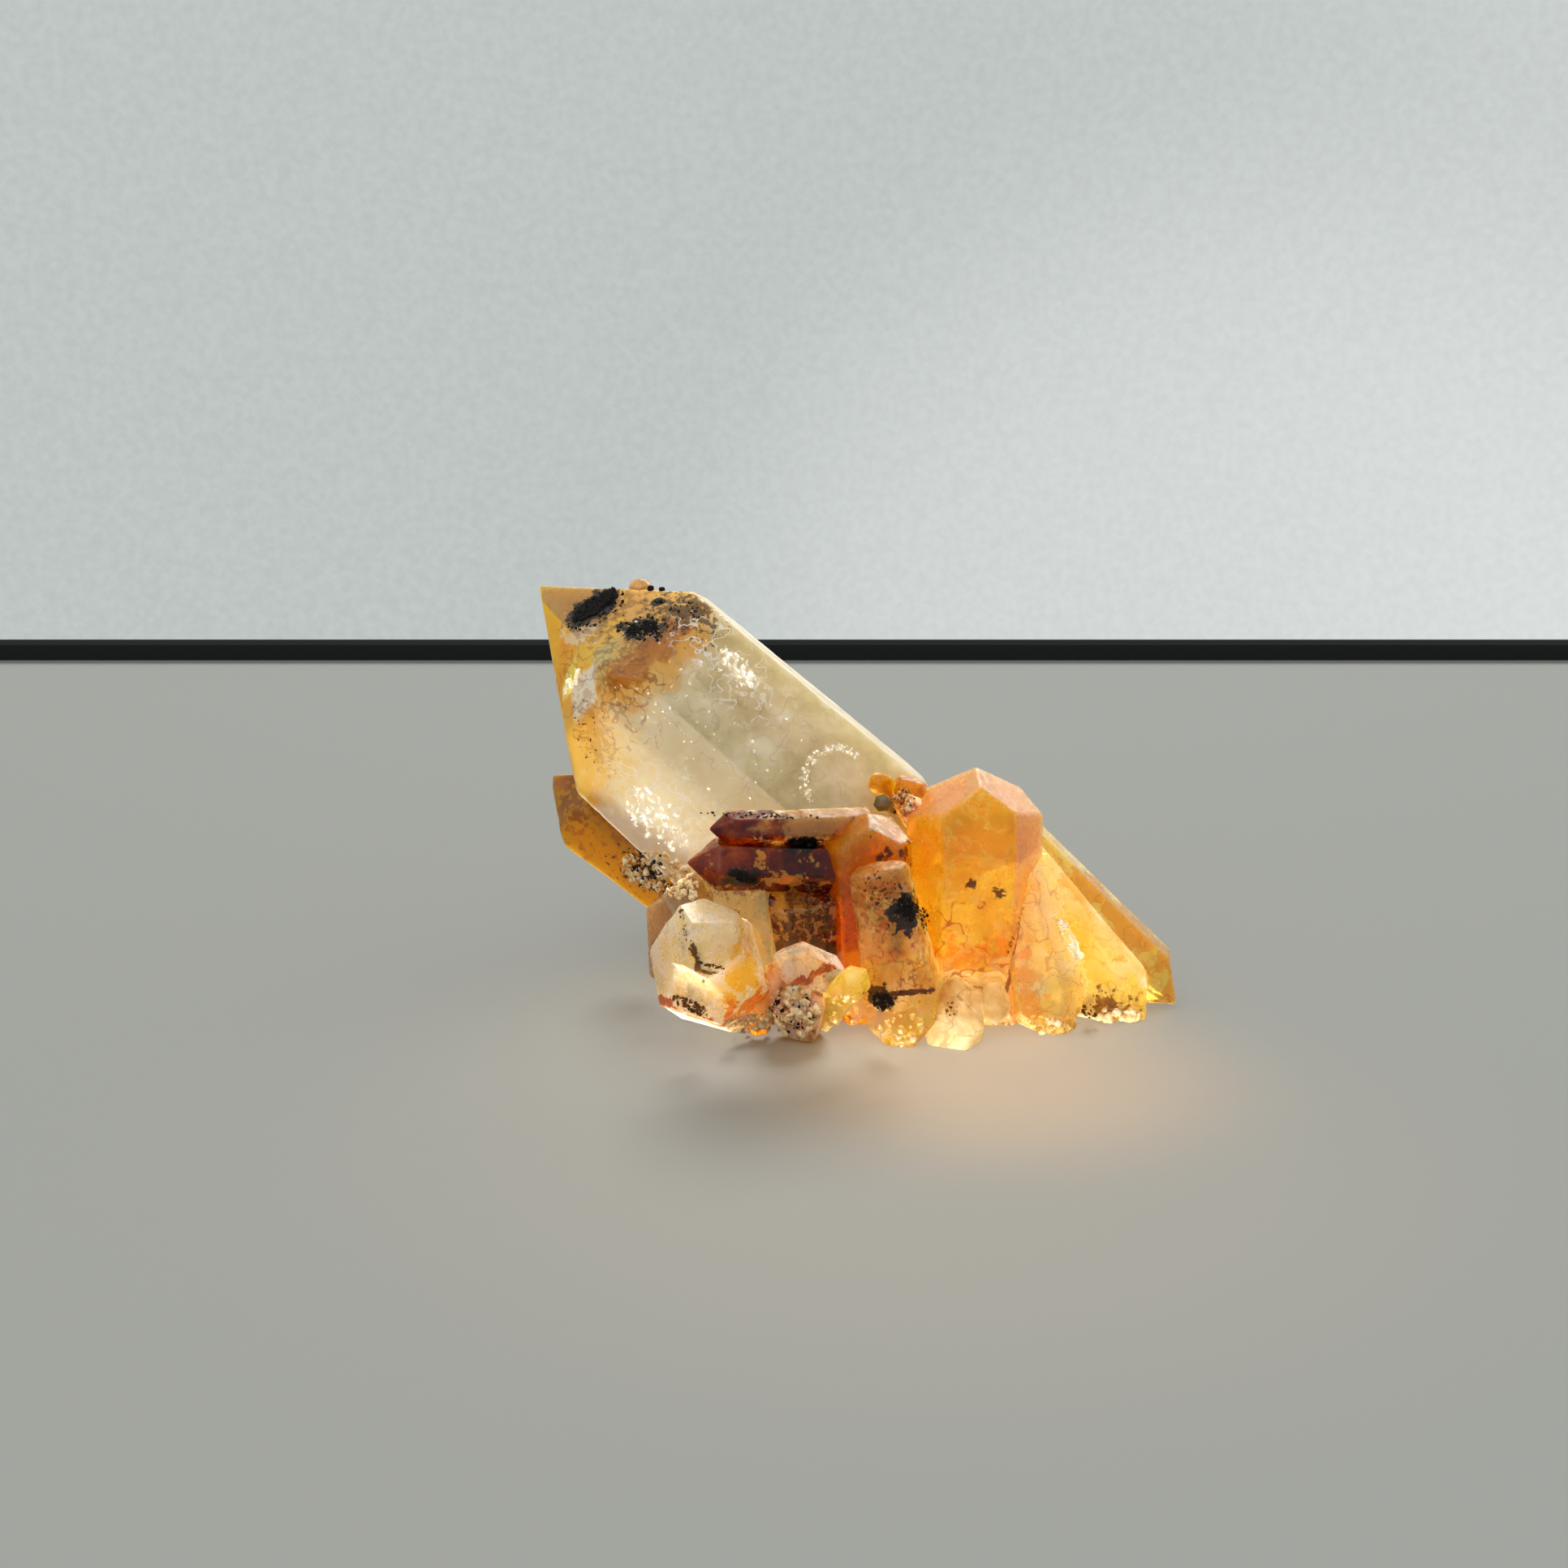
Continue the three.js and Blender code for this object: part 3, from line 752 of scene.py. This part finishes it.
STUBS = [
    dict(foot=(-13.3, -7.6, 4), tip=(-16.3, -19.1, 10.5), half=(5.4, 5.2, 5.6, 5.2, 5.4, 5.2),
         roll=20, setbacks=(0, 3, 0.5, 3, 0, 3), slope=-10, seed=11, cell=0.2),
    dict(foot=(-13, -7.6, 5.6), tip=(-16, -21.6, 14.3), half=(3.4, 3.6, 3.6, 3.2, 3.4, 3.6),
         roll=20, setbacks=(0, 3, 0.5, 3, 0.5, 3), seed=12, cell=0.2),
]
GREY_PRISM = dict(
    foot=(-15.4, -8.6, 1.5), tip=(-15.8, -9.6, 16.6), half=5, roll=10, setbacks=uneven(3),
    slope=-14, rear=(3, 0, 0, 0, 0, 0), seed=13,
)
PEACH_GABLED = dict(
    foot=(-10.6, -9.6, 1), tip=(-12.6, -8.6, 18.2), half=4, roll=8, setbacks=(0, 3, 4, 3, 0, 1),
    slope=-16, seed=14,
)
# Rock crystal, frosted where it broke and healed: pale and glowing, with rusty seams.
stub_clear = grown_quartz(
    "rock_crystal_frosted", [(0.35, "#f0d494"), (0.5, "#f8e4b4"), (0.68, "#fff6dc")],
    tint="#fbecc0", depth_mm=30, clear=0.6, glow_mm=11, cloud_mm=3, rough=(0.2, 0.5),
    stains=[
        patch("#fffef4", (-15, -16, 8), 9, lines=2.9, amount=0.8),
        patch("#f2b93a", (-11.5, -18, 8), (1.6, 3, 3.6), ragged=0.9),
        patch("#e07818", (-10.4, -16, 3.6), (2.4, 4, 2.2), ragged=0.9),
        patch("#a8460c", (-16, -17, 3.2), (3.8, 5, 0.9), along=(3, 0, -1.4), ragged=0.8),
        patch("#33200e", (-15.9, -19.5, 11), (2.6, 2, 0.3), along=(0.6, 0, -3), ragged=0.6,
              grain=0.9),
        patch("#33200e", (-14.2, -20, 8.8), (1.9, 2, 0.25), along=(3, 0, -1.6), ragged=0.6,
              grain=0.9),
    ],
)
# Smoky quartz, fairly clear: a grey tan that darkens downwards.
smoky = grown_quartz(
    "quartz_smoky_tan", [(0.35, "#a07c4c"), (0.65, "#c89c60")], tint="#d8b070", depth_mm=16,
    clear=0.6, glow_mm=8,
    stains=[
        film("#8a5a30", beyond=(DOWN, -6), size=3, ragged=0.8, amount=0.7),
    ],
)
cluster_piece("clear_stubs", STUBS, stub_clear)
cluster_piece("grey_prism", [GREY_PRISM], smoky)
cluster_piece("peach_gabled_crystal", [PEACH_GABLED], peach)

# ---------------------------------------------------------------- dark red crystals
# Slim crystals that lie across the middle and a block behind them, soaked dark red by iron
# oxide. The upper one is clean and beige towards its right end.
RED_UPPER = dict(
    foot=(1.2, -7.1, 20.4), tip=(-15, -12.1, 21.3), half=(1.7, 1.5, 1.7, 1.7, 1.5, 1.7), roll=15,
    seed=15, cell=0.2,
)
RED_LOWER = dict(
    foot=(2.2, -8.6, 16.2), tip=(-17.2, -12.6, 18), half=2.4, roll=25, seed=16, cell=0.2,
)
RED_BLOCK = dict(
    foot=(-4.8, -5.6, 1), tip=(-6.3, -7.6, 17), half=5.5, roll=15, setbacks=uneven(3), slope=-20,
    seed=17, pit=0.5,
)
# Quartz soaked with iron oxide, with smooth faces: deep red where light comes through, almost
# without a shine, and flecked with bare gold and black.
red = grown_quartz(
    "quartz_stained_red", [(0.35, "#340000"), (0.5, "#701000"), (0.68, "#a04400")], tint="#b04000",
    depth_mm=8, clear=0.6, cloud_mm=2.2, rough=(0.08, 0.35), gloss=0.06,
    stains=[
        patch("#560600", (-3, -12, 17), (7.5, 6, 2.6), ragged=0.5),
        patch("#8c2800", (-15, -12, 18.3), (4, 4, 2.4), ragged=0.5, amount=0.7),
        patch("#c89858", (-4, -9, 21.4), (6, 5, 1.7), ragged=0.6, soft=0.3),
        patch("#0d0604", (-5.4, -10.6, 19.3), (1.9, 3, 0.6)),
        patch("#e0a040", (-5, -12.4, 11.6), (6, 5, 4), ragged=1.8, grain=2, amount=0.9),
        patch("#140604", (-11.6, -13, 16.8), (1.7, 3, 1.1)),
        patch("#2a0a02", (-4, -13, 8), (8, 5, 3.4), ragged=1.8, grain=1.2, amount=0.85),
    ],
)
cluster_piece("dark_red_crystals", [RED_UPPER, RED_LOWER], red, casts=True)
cluster_piece("dark_red_block", [RED_BLOCK], red)

# ---------------------------------------------------------------- low crystals in the middle
# A white crystal with red streaks, two yellow ones, a crusted one and two orange beads, small
# and jumbled under the dark red ones.
LOW_WHITE = dict(
    foot=(-2.8, -11.6, 5.5), tip=(-8.4, -15.6, 9.4), half=2.2, roll=20, setbacks=uneven(1), seed=18,
    cell=0.15,
)
LOW_YELLOW = [
    dict(foot=(-3.8, -12.1, 1.5), tip=(0.8, -16, 8.2), half=1.6, roll=10, cell=0.15),
    dict(foot=(0.2, -9.6, 8), tip=(0, -12.4, 0.8), half=1.3, cell=0.15),
]
LOW_CRUST = dict(
    foot=(-7.3, -10.6, 7), tip=(-4.5, -15.2, -0.4), half=2.7, roll=25, setbacks=(0, 1, 0, 2, 0, 1),
    cell=0.15, pit=0.8,
)
BEADS = [
    dict(foot=(-8.6, -9, 3.4), tip=(-11.2, -13.6, 2.8), half=1.4, roll=10, slope=-8, cell=0.15),
    dict(foot=(-9, -9.4, 1.8), tip=(-10.4, -13.8, 0.3), half=1.1, roll=25, slope=-8, cell=0.15),
]
# Milky quartz, frosted: white and glowing, with one rusty streak.
white = grown_quartz(
    "quartz_white", [(0.35, "#f4d8a8"), (0.55, "#ffe8c0"), (0.7, "#fff8e8")], tint="#fbecc8",
    depth_mm=30, clear=0.55, glow_mm=10, cloud_mm=2, rough=(0.2, 0.5),
    stains=[
        patch("#b0501c", (-6, -14.5, 6.6), (3, 3, 0.5), along=(3, 0, 1), ragged=1.4, grain=0.9),
        patch("#d89060", (-6, -14.5, 7), 4, lines=1.3, amount=0.7),
    ],
)
# Quartz under a rough mineral crust: nearly opaque, pink to cream, and matt.
crust = grown_quartz(
    "quartz_crusted_pink", [(0.35, "#8a4a20"), (0.48, "#e0a878"), (0.7, "#f6dcc0")], tint="#f0c090",
    depth_mm=10, clear=0.1, cloud_mm=1.4, rough=(0.4, 0.7), bump_mm=0.15,
)
cluster_piece("low_white_crystal", [LOW_WHITE], white)
cluster_piece("low_yellow_crystals", LOW_YELLOW, yellow)
cluster_piece("low_crusted_crystal", [LOW_CRUST], crust, casts=True)
cluster_piece("orange_beads", BEADS, small_orange)

# ---------------------------------------------------------------- fringe along the foot
# Short crystals that hang below the uprights down to the table, yellow, whitish and peach. The
# cluster stands on their worn ends.
FRINGE_YELLOW = dict(
    foot=(4.6, -9.6, 6.5), tip=(4.3, -16.4, -1.4), half=3.4, roll=15, setbacks=uneven(1), cell=0.18,
)
FRINGE_WHITE = [
    dict(foot=(9.8, -9.1, 3.8), tip=(9.6, -17.6, -1.8), half=2.9, roll=30, setbacks=uneven(1),
         cell=0.18),
    dict(foot=(13.8, -9.6, 5), tip=(13.8, -14.4, 1.4), half=1.4, roll=10, cell=0.18),
]
FRINGE_PEACH = dict(foot=(20.2, -5.6, 8), tip=(26.8, -9, -0.6), half=2.6, roll=5, cell=0.2)
# Pale quartz with an etched skin: matt, with a hint of green.
greenish = grown_quartz(
    "quartz_pale_greenish", [(0.35, "#b89858"), (0.55, "#dcc288"), (0.7, "#f4e6bc")],
    tint="#f8e8b8", depth_mm=24, glow_mm=9, cloud_mm=2, rough=(0.5, 0.8),
    stains=[
        patch("#7c6430", (10, -14, 1), 8, lines=2.9, thin=0.02, amount=0.5),
    ],
)
cluster_piece("fringe_yellow", [FRINGE_YELLOW], yellow)
cluster_piece("fringe_white", FRINGE_WHITE, greenish)
cluster_piece("fringe_peach", [FRINGE_PEACH], peach)

# ---------------------------------------------------------------- crystals on the shoulder
# Small crystals that grew last, where the clear one meets the uprights: gold blades, an olive
# cube and a cream lump.
GOLD = [
    dict(foot=(5.2, -0.1, 20.5), tip=(1.4, -4.6, 25), half=(0.8, 1.3, 0.8, 0.8, 1.3, 0.8), roll=20,
         cell=0.12),
    dict(foot=(6.8, -0.6, 19.5), tip=(4.6, -4.8, 24.6), half=1.9, roll=10, setbacks=uneven(1),
         cell=0.15),
]
OLIVE = dict(foot=(3.6, -1.6, 20.8), tip=(2.4, -5.8, 22.4), half=0.9, roll=35, slope=-25, cell=0.12)
CREAM = dict(
    foot=(6.8, -2.6, 19.5), tip=(5.4, -6.6, 22.6), half=1.4, roll=5, setbacks=uneven(1), cell=0.12,
)
# Dark stained quartz: a dull olive that lets little light through.
olive = grown_quartz(
    "quartz_olive", [(0.35, "#4c3c10"), (0.65, "#8a7430")], tint="#a09040", depth_mm=5, clear=0.6,
    glow_mm=3,
)
# Thin, clear, iron-stained quartz: it lights up golden.
gold = grown_quartz(
    "quartz_stained_gold", [(0.35, "#b86c00"), (0.65, "#e8a418")], tint="#f0a818", depth_mm=10,
    cloud_mm=1.4,
)
cluster_piece("gold_blades", GOLD, gold)
cluster_piece("olive_cube", [OLIVE], olive)
cluster_piece("cream_lump", [CREAM], crust)

# ---------------------------------------------------------------- growth at the back
# The side away from the viewer: three stout yellow crystals down to the table, one that stands
# up between them, the broken root that all share, and a spray of short ones round it.
BACK_CELL = 0.4
BACK = [
    dict(foot=(-3.8, 6.4, 9), tip=(-13.8, 16.4, -2), half=4.5, roll=20, setbacks=uneven(1)),
    dict(foot=(4.2, 4.4, 8), tip=(5.2, 19.4, 2), half=4.2, roll=5, setbacks=uneven(1)),
    dict(foot=(11.2, 0.4, 8), tip=(17.2, 12.4, -1.5), half=3.8, roll=12, setbacks=uneven(1)),
    dict(foot=(10.2, 2.4, 3), tip=(13.7, 7.4, 19), half=3.2, roll=25, setbacks=uneven(2)),
    dict(foot=(-12, 1.8, 2.6), tip=(13, 1.2, 2.6), half=(6, 5, 5.4, 7.2, 5.6, 5.2), roll=6,
         slope=-20, setbacks=(0, 2, 1, 0, 2, 1), rear=(1, 0, 2, 1, 0, 2)),
]
# The spray fans out from its centre, from the right round the back to the left, in degrees. Its
# lengths, half widths and lifts above level come round again every five crystals.
SPRAY_CENTRE = np.array([5.0, 4.0, 7.0])
SPRAY_COUNT = 9
SPRAY_FROM, SPRAY_TO = -12, 196
SPRAY_ROLL = 17
SPRAY_SEED = 30
SPRAY_SHAPES = [(15, 2.9, 34), (11, 2.1, -18), (17, 3.3, 8), (12, 2.4, 46), (14, 2.7, -8)]
for i in range(SPRAY_COUNT):
    length, half, lift = SPRAY_SHAPES[i % len(SPRAY_SHAPES)]
    around = math.radians(SPRAY_FROM + (SPRAY_TO - SPRAY_FROM) * i / (SPRAY_COUNT - 1))
    lift = math.radians(lift)
    level = math.cos(lift)
    run = np.array([level * math.cos(around), level * math.sin(around), math.sin(lift)])
    tip = SPRAY_CENTRE + length * run
    BACK.append(dict(foot=SPRAY_CENTRE, tip=tip, half=half, roll=SPRAY_ROLL * i,
                     setbacks=uneven(1), seed=SPRAY_SEED + i))
cluster_piece("back_growth", [dict(one, cell=BACK_CELL) for one in BACK], yellow)

# ---------------------------------------------------------------- tiny crystal on the point
# A short smoky crystal, grown on the upper edge of the clear one near its point.
TOP_SPECK = dict(foot=(-22.6, 8.4, 41.4), tip=(-22.6, 8, 43.4), half=1.2, roll=30, slope=-18,
                 cell=0.12)
cluster_piece("tiny_crystal_on_point", [TOP_SPECK], smoky)

# ---------------------------------------------------------------- grains, crust and fractures
# What is too small for the crystals: black and brown oxide grains that grew on them, cream crust
# webbed with holes, yellow crumbs at the foot, and bright fractures in the skin of the quartz.
#
# Each spot is an ellipse of the upright plane through the origin: its middle, its half sizes,
# its turn in degrees, how many grains it has, and their smallest and largest radius.
OXIDE_SPOTS = [
    ((-26.8, 41.5), (2.5, 0.7), 33, 560, (0.16, 0.42)),
    ((-26.6, 41.2), (3.5, 1.5), 33, 200, (0.05, 0.22)),
    ((-21.4, 39.2), (3, 1.3), 0, 160, (0.05, 0.22)),
    ((-25.3, 42.4), (1, 0.67), 33, 240, (0.14, 0.36)),
    ((-21.1, 39.5), (0.7, 0.5), 0, 80, (0.14, 0.34)),
    ((-22.9, 39), (0.6, 0.4), 0, 50, (0.12, 0.3)),
    ((-21.9, 39.1), (1.9, 0.8), 0, 70, (0.08, 0.24)),
    ((-20.2, 42), (0.5, 0.21), 0, 16, (0.12, 0.24)),
    ((-17.3, 41), (1.82, 1.17), 0, 90, (0.05, 0.16)),
    ((-24.7, 40), (6.21, 2.18), 0, 90, (0.04, 0.1)),
    ((-10, 19.5), (6.36, 0.31), -2, 90, (0.06, 0.2)),
    ((-5.4, 16.7), (1.45, 0.44), 0, 90, (0.12, 0.32)),
    ((-11.7, 12.8), (1.28, 0.53), -18, 90, (0.12, 0.3)),
    ((5.6, 9.3), (1.1, 1.5), 20, 150, (0.1, 0.34)),
    ((7.4, 8.2), (0.5, 1.2), 10, 40, (0.08, 0.24)),
    ((3.1, -0.9), (1.04, 1.01), 0, 110, (0.1, 0.3)),
    ((-22.2, 13.6), (0.68, 1.33), 20, 60, (0.06, 0.2)),
    ((-20.3, 13), (4.27, 2), -25, 36, (0.1, 0.4)),
    ((-6.4, -2.1), (2.43, 2.57), 0, 44, (0.1, 0.4)),
    ((4.9, 20.9), (1.27, 1.48), 0, 50, (0.06, 0.2)),
]
BROWN_SPOTS = [
    ((-27.9, 28.6), (1.09, 3.78), 8, 80, (0.04, 0.12)),
    ((-4.5, 9.1), (3.08, 3.04), 0, 240, (0.08, 0.3)),
    ((4.2, -0.1), (3.81, 0.18), 0, 80, (0.06, 0.16)),
    ((-18, 7.5), (0.17, 1.98), 8, 30, (0.08, 0.2)),
    ((-16.9, 4.2), (0.17, 1.27), 40, 26, (0.08, 0.2)),
    ((-14.8, 2.9), (1.21, 0.18), -10, 30, (0.08, 0.2)),
    ((-17.4, -1.5), (2.17, 0.55), -28, 110, (0.08, 0.26)),
    ((25, -2.5), (0.95, 1.28), 0, 40, (0.08, 0.28)),
    ((17, 6.6), (0.17, 3.06), -18, 60, (0.04, 0.12)),
    ((10.5, -1.8), (0.69, 0.92), 0, 30, (0.06, 0.16)),
    ((2.8, 11.8), (2.05, 1.6), 0, 90, (0.06, 0.22)),
]
CRUST_SPOTS = [
    ((-20.3, 13), (4.44, 2.2), -25, 260, (0.1, 0.5)),
    ((-6.4, -2.1), (2.77, 2.93), 0, 200, (0.1, 0.6)),
    ((5, 20.8), (1.18, 1.4), 0, 60, (0.12, 0.34)),
    ((-11, -3.4), (2.61, 1.1), 0, 100, (0.1, 0.4)),
]
CRUMB_SPOTS = [
    ((28.3, -2.7), (2.43, 0.83), 0, 60, (0.2, 0.7)),
    ((5.1, -4.2), (2.61, 2.03), 0, 30, (0.15, 0.5)),
    ((-1, -2.1), (1.56, 2.2), 0, 40, (0.15, 0.5)),
    ((20.3, -3.8), (4, 0.92), 0, 60, (0.15, 0.6)),
]
FRACTURES = [
    ((-12.2, 35.4), (3, 0.85), -47, 110, (0.06, 0.42)),
    ((-12, 33.5), (0.58, 0.42), 0, 14, (0.08, 0.3)),
    ((-20.8, 19.2), (4.41, 2.1), -47, 200, (0.06, 0.4)),
    ((-15.4, 30.3), (12.56, 6.84), -42, 160, (0.05, 0.22)),
    ((-29.2, 33.7), (0.42, 1.7), -25, 24, (0.2, 0.6)),
    ((22.9, 5.9), (0.52, 2.43), 30, 40, (0.15, 0.6)),
]
# A round veil of fractures, drawn as part of a ring, from and to in degrees.
VEIL_CENTRE = (-1.8, 23.2)
VEIL_RADIUS = 3.5
VEIL_FROM, VEIL_TO = 55, 215
VEIL_SPOTS = 26
VEIL_SPOT = (0.5, 0.5), 0, 9, (0.05, 0.22)
for i in range(VEIL_SPOTS):
    a = math.radians(VEIL_FROM + (VEIL_TO - VEIL_FROM) * i / (VEIL_SPOTS - 1))
    spot = VEIL_CENTRE[0] + VEIL_RADIUS * math.cos(a), VEIL_CENTRE[1] + VEIL_RADIUS * math.sin(a)
    FRACTURES.append((spot, *VEIL_SPOT))

SCATTER_SEED = 7
chance = np.random.default_rng(SCATTER_SEED)
graph = bpy.context.evaluated_depsgraph_get()
crystals = [BVHTree.FromObject(piece, graph) for piece in ON_CLUSTER.objects]


def front_hit(x, z):
    """The nearest point of the crystals, in millimetres, and its normal, on the line from the
    camera through the point x, z of the upright plane through the origin, or nothing."""
    start = Vector(CAMERA_AT) * MM
    sight = (Vector((x, 0, z)) * MM - start).normalized()
    hits = [crystal.ray_cast(start, sight) for crystal in crystals]
    hits = [hit for hit in hits if hit[0] is not None]
    if not hits:
        return None
    point, normal, _, _ = min(hits, key=lambda hit: hit[3])
    return point / MM, normal


# A grain's grid, how deep it sits, and its own noise. All stay a little inside the cluster's box.
GRAIN_ROWS, GRAIN_COLUMNS = 3, 7
GRAIN_SEAT = 0.3
GRAIN_LUMPS, GRAINS_APART, GRAIN_SEED = 1.3, 9.0, 5
LOWEST, HIGHEST = 0.02, cad_box[1][2] / MM - 0.1


def grains(name, spots, material, slot, flat=0.6, tumble=0.3, rough=0.35, sink=(-0.1, 0.1)):
    """Small lumps in one mesh, scattered over the spots and set on the crystals on those lines
    from the camera. Each is a globe, c + r (d - (1 - flat)(d.n) n)(1 + rough noise), flattened
    along the normal n of the face under it, tumbled by chance, and sunk some way into it."""
    centres, normals, sizes = [], [], []
    for middle, half, degrees, count, (low, high) in spots:
        turn = math.radians(degrees)
        far = np.sqrt(chance.random(count))
        around = 2 * math.pi * chance.random(count)
        a, b = half[0] * far * np.cos(around), half[1] * far * np.sin(around)
        xs = middle[0] + a * math.cos(turn) - b * math.sin(turn)
        zs = middle[1] + a * math.sin(turn) + b * math.cos(turn)
        for x, z, share in zip(xs, zs, chance.random(count)):
            hit = front_hit(x, z)
            if hit is not None:
                centres.append(hit[0])
                normals.append(hit[1])
                sizes.append(low + (high - low) * share**2)
    centres, normals, sizes = np.array(centres), np.array(normals), np.array(sizes)
    depth = chance.uniform(*sink, len(sizes))[:, None]
    centres = centres - normals * (depth + sizes[:, None] * flat * GRAIN_SEAT)
    normals = normals + tumble * chance.normal(size=normals.shape)
    normals /= np.linalg.norm(normals, axis=1, keepdims=True)
    ball, one = globe(GRAIN_ROWS, GRAIN_COLUMNS)
    along = (ball @ normals.T).T[..., None] * normals[:, None, :]
    shape = ball[None] - (1 - flat) * along
    uneven_at = GRAIN_LUMPS * ball[None] + GRAINS_APART * centres[:, None, :]
    swell = 1 + rough * lumps(uneven_at, 1.0, GRAIN_SEED)
    points = centres[:, None, :] + sizes[:, None, None] * shape * swell[..., None]
    points[..., 2] = np.clip(points[..., 2], LOWEST, HIGHEST)
    starts = range(0, points[..., 0].size, len(ball))
    faces = [[corner + start for corner in face] for start in starts for face in one]
    placed(mesh_object(name, points.reshape(-1, 3), faces, material), slot != "quartz")


MINERAL_GRAIN = 0.6


def dull_mineral(name, stops):
    """An opaque, matt mineral: noise runs through the colour stops."""
    material, tree, output = new_material(name)
    place = add(tree, "TexCoord").outputs["Object"]
    colour = add(tree, "ValToRGB", {"Fac": noise(tree, place, MINERAL_GRAIN)}, stops=stops)
    skin = {"Base Color": colour.outputs[0], "Roughness": 0.7, "Specular IOR Level": 0.25}
    skin = add(tree, "BsdfPrincipled", skin)
    tree.links.new(skin.outputs[0], output.inputs["Surface"])
    return material


# Manganese and iron oxide, grown as sooty grains: black, rust brown and without a shine.
black = dull_mineral("oxide_black", [(0.35, "#050403"), (0.65, "#140e09")])
brown = dull_mineral("oxide_brown", [(0.35, "#3c1a08"), (0.65, "#8a4c18")])
# Clay-like mineral crust: chalky cream.
cream = dull_mineral("crust_cream", [(0.35, "#c08c50"), (0.5, "#ecc890"), (0.65, "#fff0d0")])
# Broken bits of yellow quartz: glassy, so they sparkle.
crumb = grown_quartz(
    "quartz_yellow_crumbs", [(0.35, "#c89430"), (0.65, "#e8c878")], tint="#fbdc80", depth_mm=10,
    glow_mm=3,
)
# Thin cracks with air in them: bright white flakes.
bright = grown_quartz(
    "fracture_white", [(0.35, "#f4ecdc"), (0.65, "#ffffff")], tint="#ffffff", depth_mm=40,
    glow_mm=0.5,
)
grains("oxide_grains", OXIDE_SPOTS, black, "oxide", flat=0.4, rough=0.8)
grains("rust_grains", BROWN_SPOTS, brown, "oxide")
grains("crust_web", CRUST_SPOTS, cream, "crust", flat=0.4, rough=0.8, tumble=0.6)
grains("yellow_crumbs", CRUMB_SPOTS, crumb, "quartz", flat=0.9)
grains("fractures", FRACTURES, bright, "quartz", flat=0.1, tumble=0.5, rough=0.7, sink=(-0.04, 0.1))

# Two black beads beside the tiny crystal on the top edge.
BEAD_SPOTS = [(-21.4, 6.9, 42.4), (-20.2, 6.6, 42.3)]
BEAD_HALF = 0.42
BLACK_BEADS = [
    dict(foot=(x, y, z - BEAD_HALF), tip=(x, y, z + BEAD_HALF), half=BEAD_HALF, slope=-30, roll=20,
         cell=0.08)
    for x, y, z in BEAD_SPOTS
]
cluster_piece("black_beads", BLACK_BEADS, black)
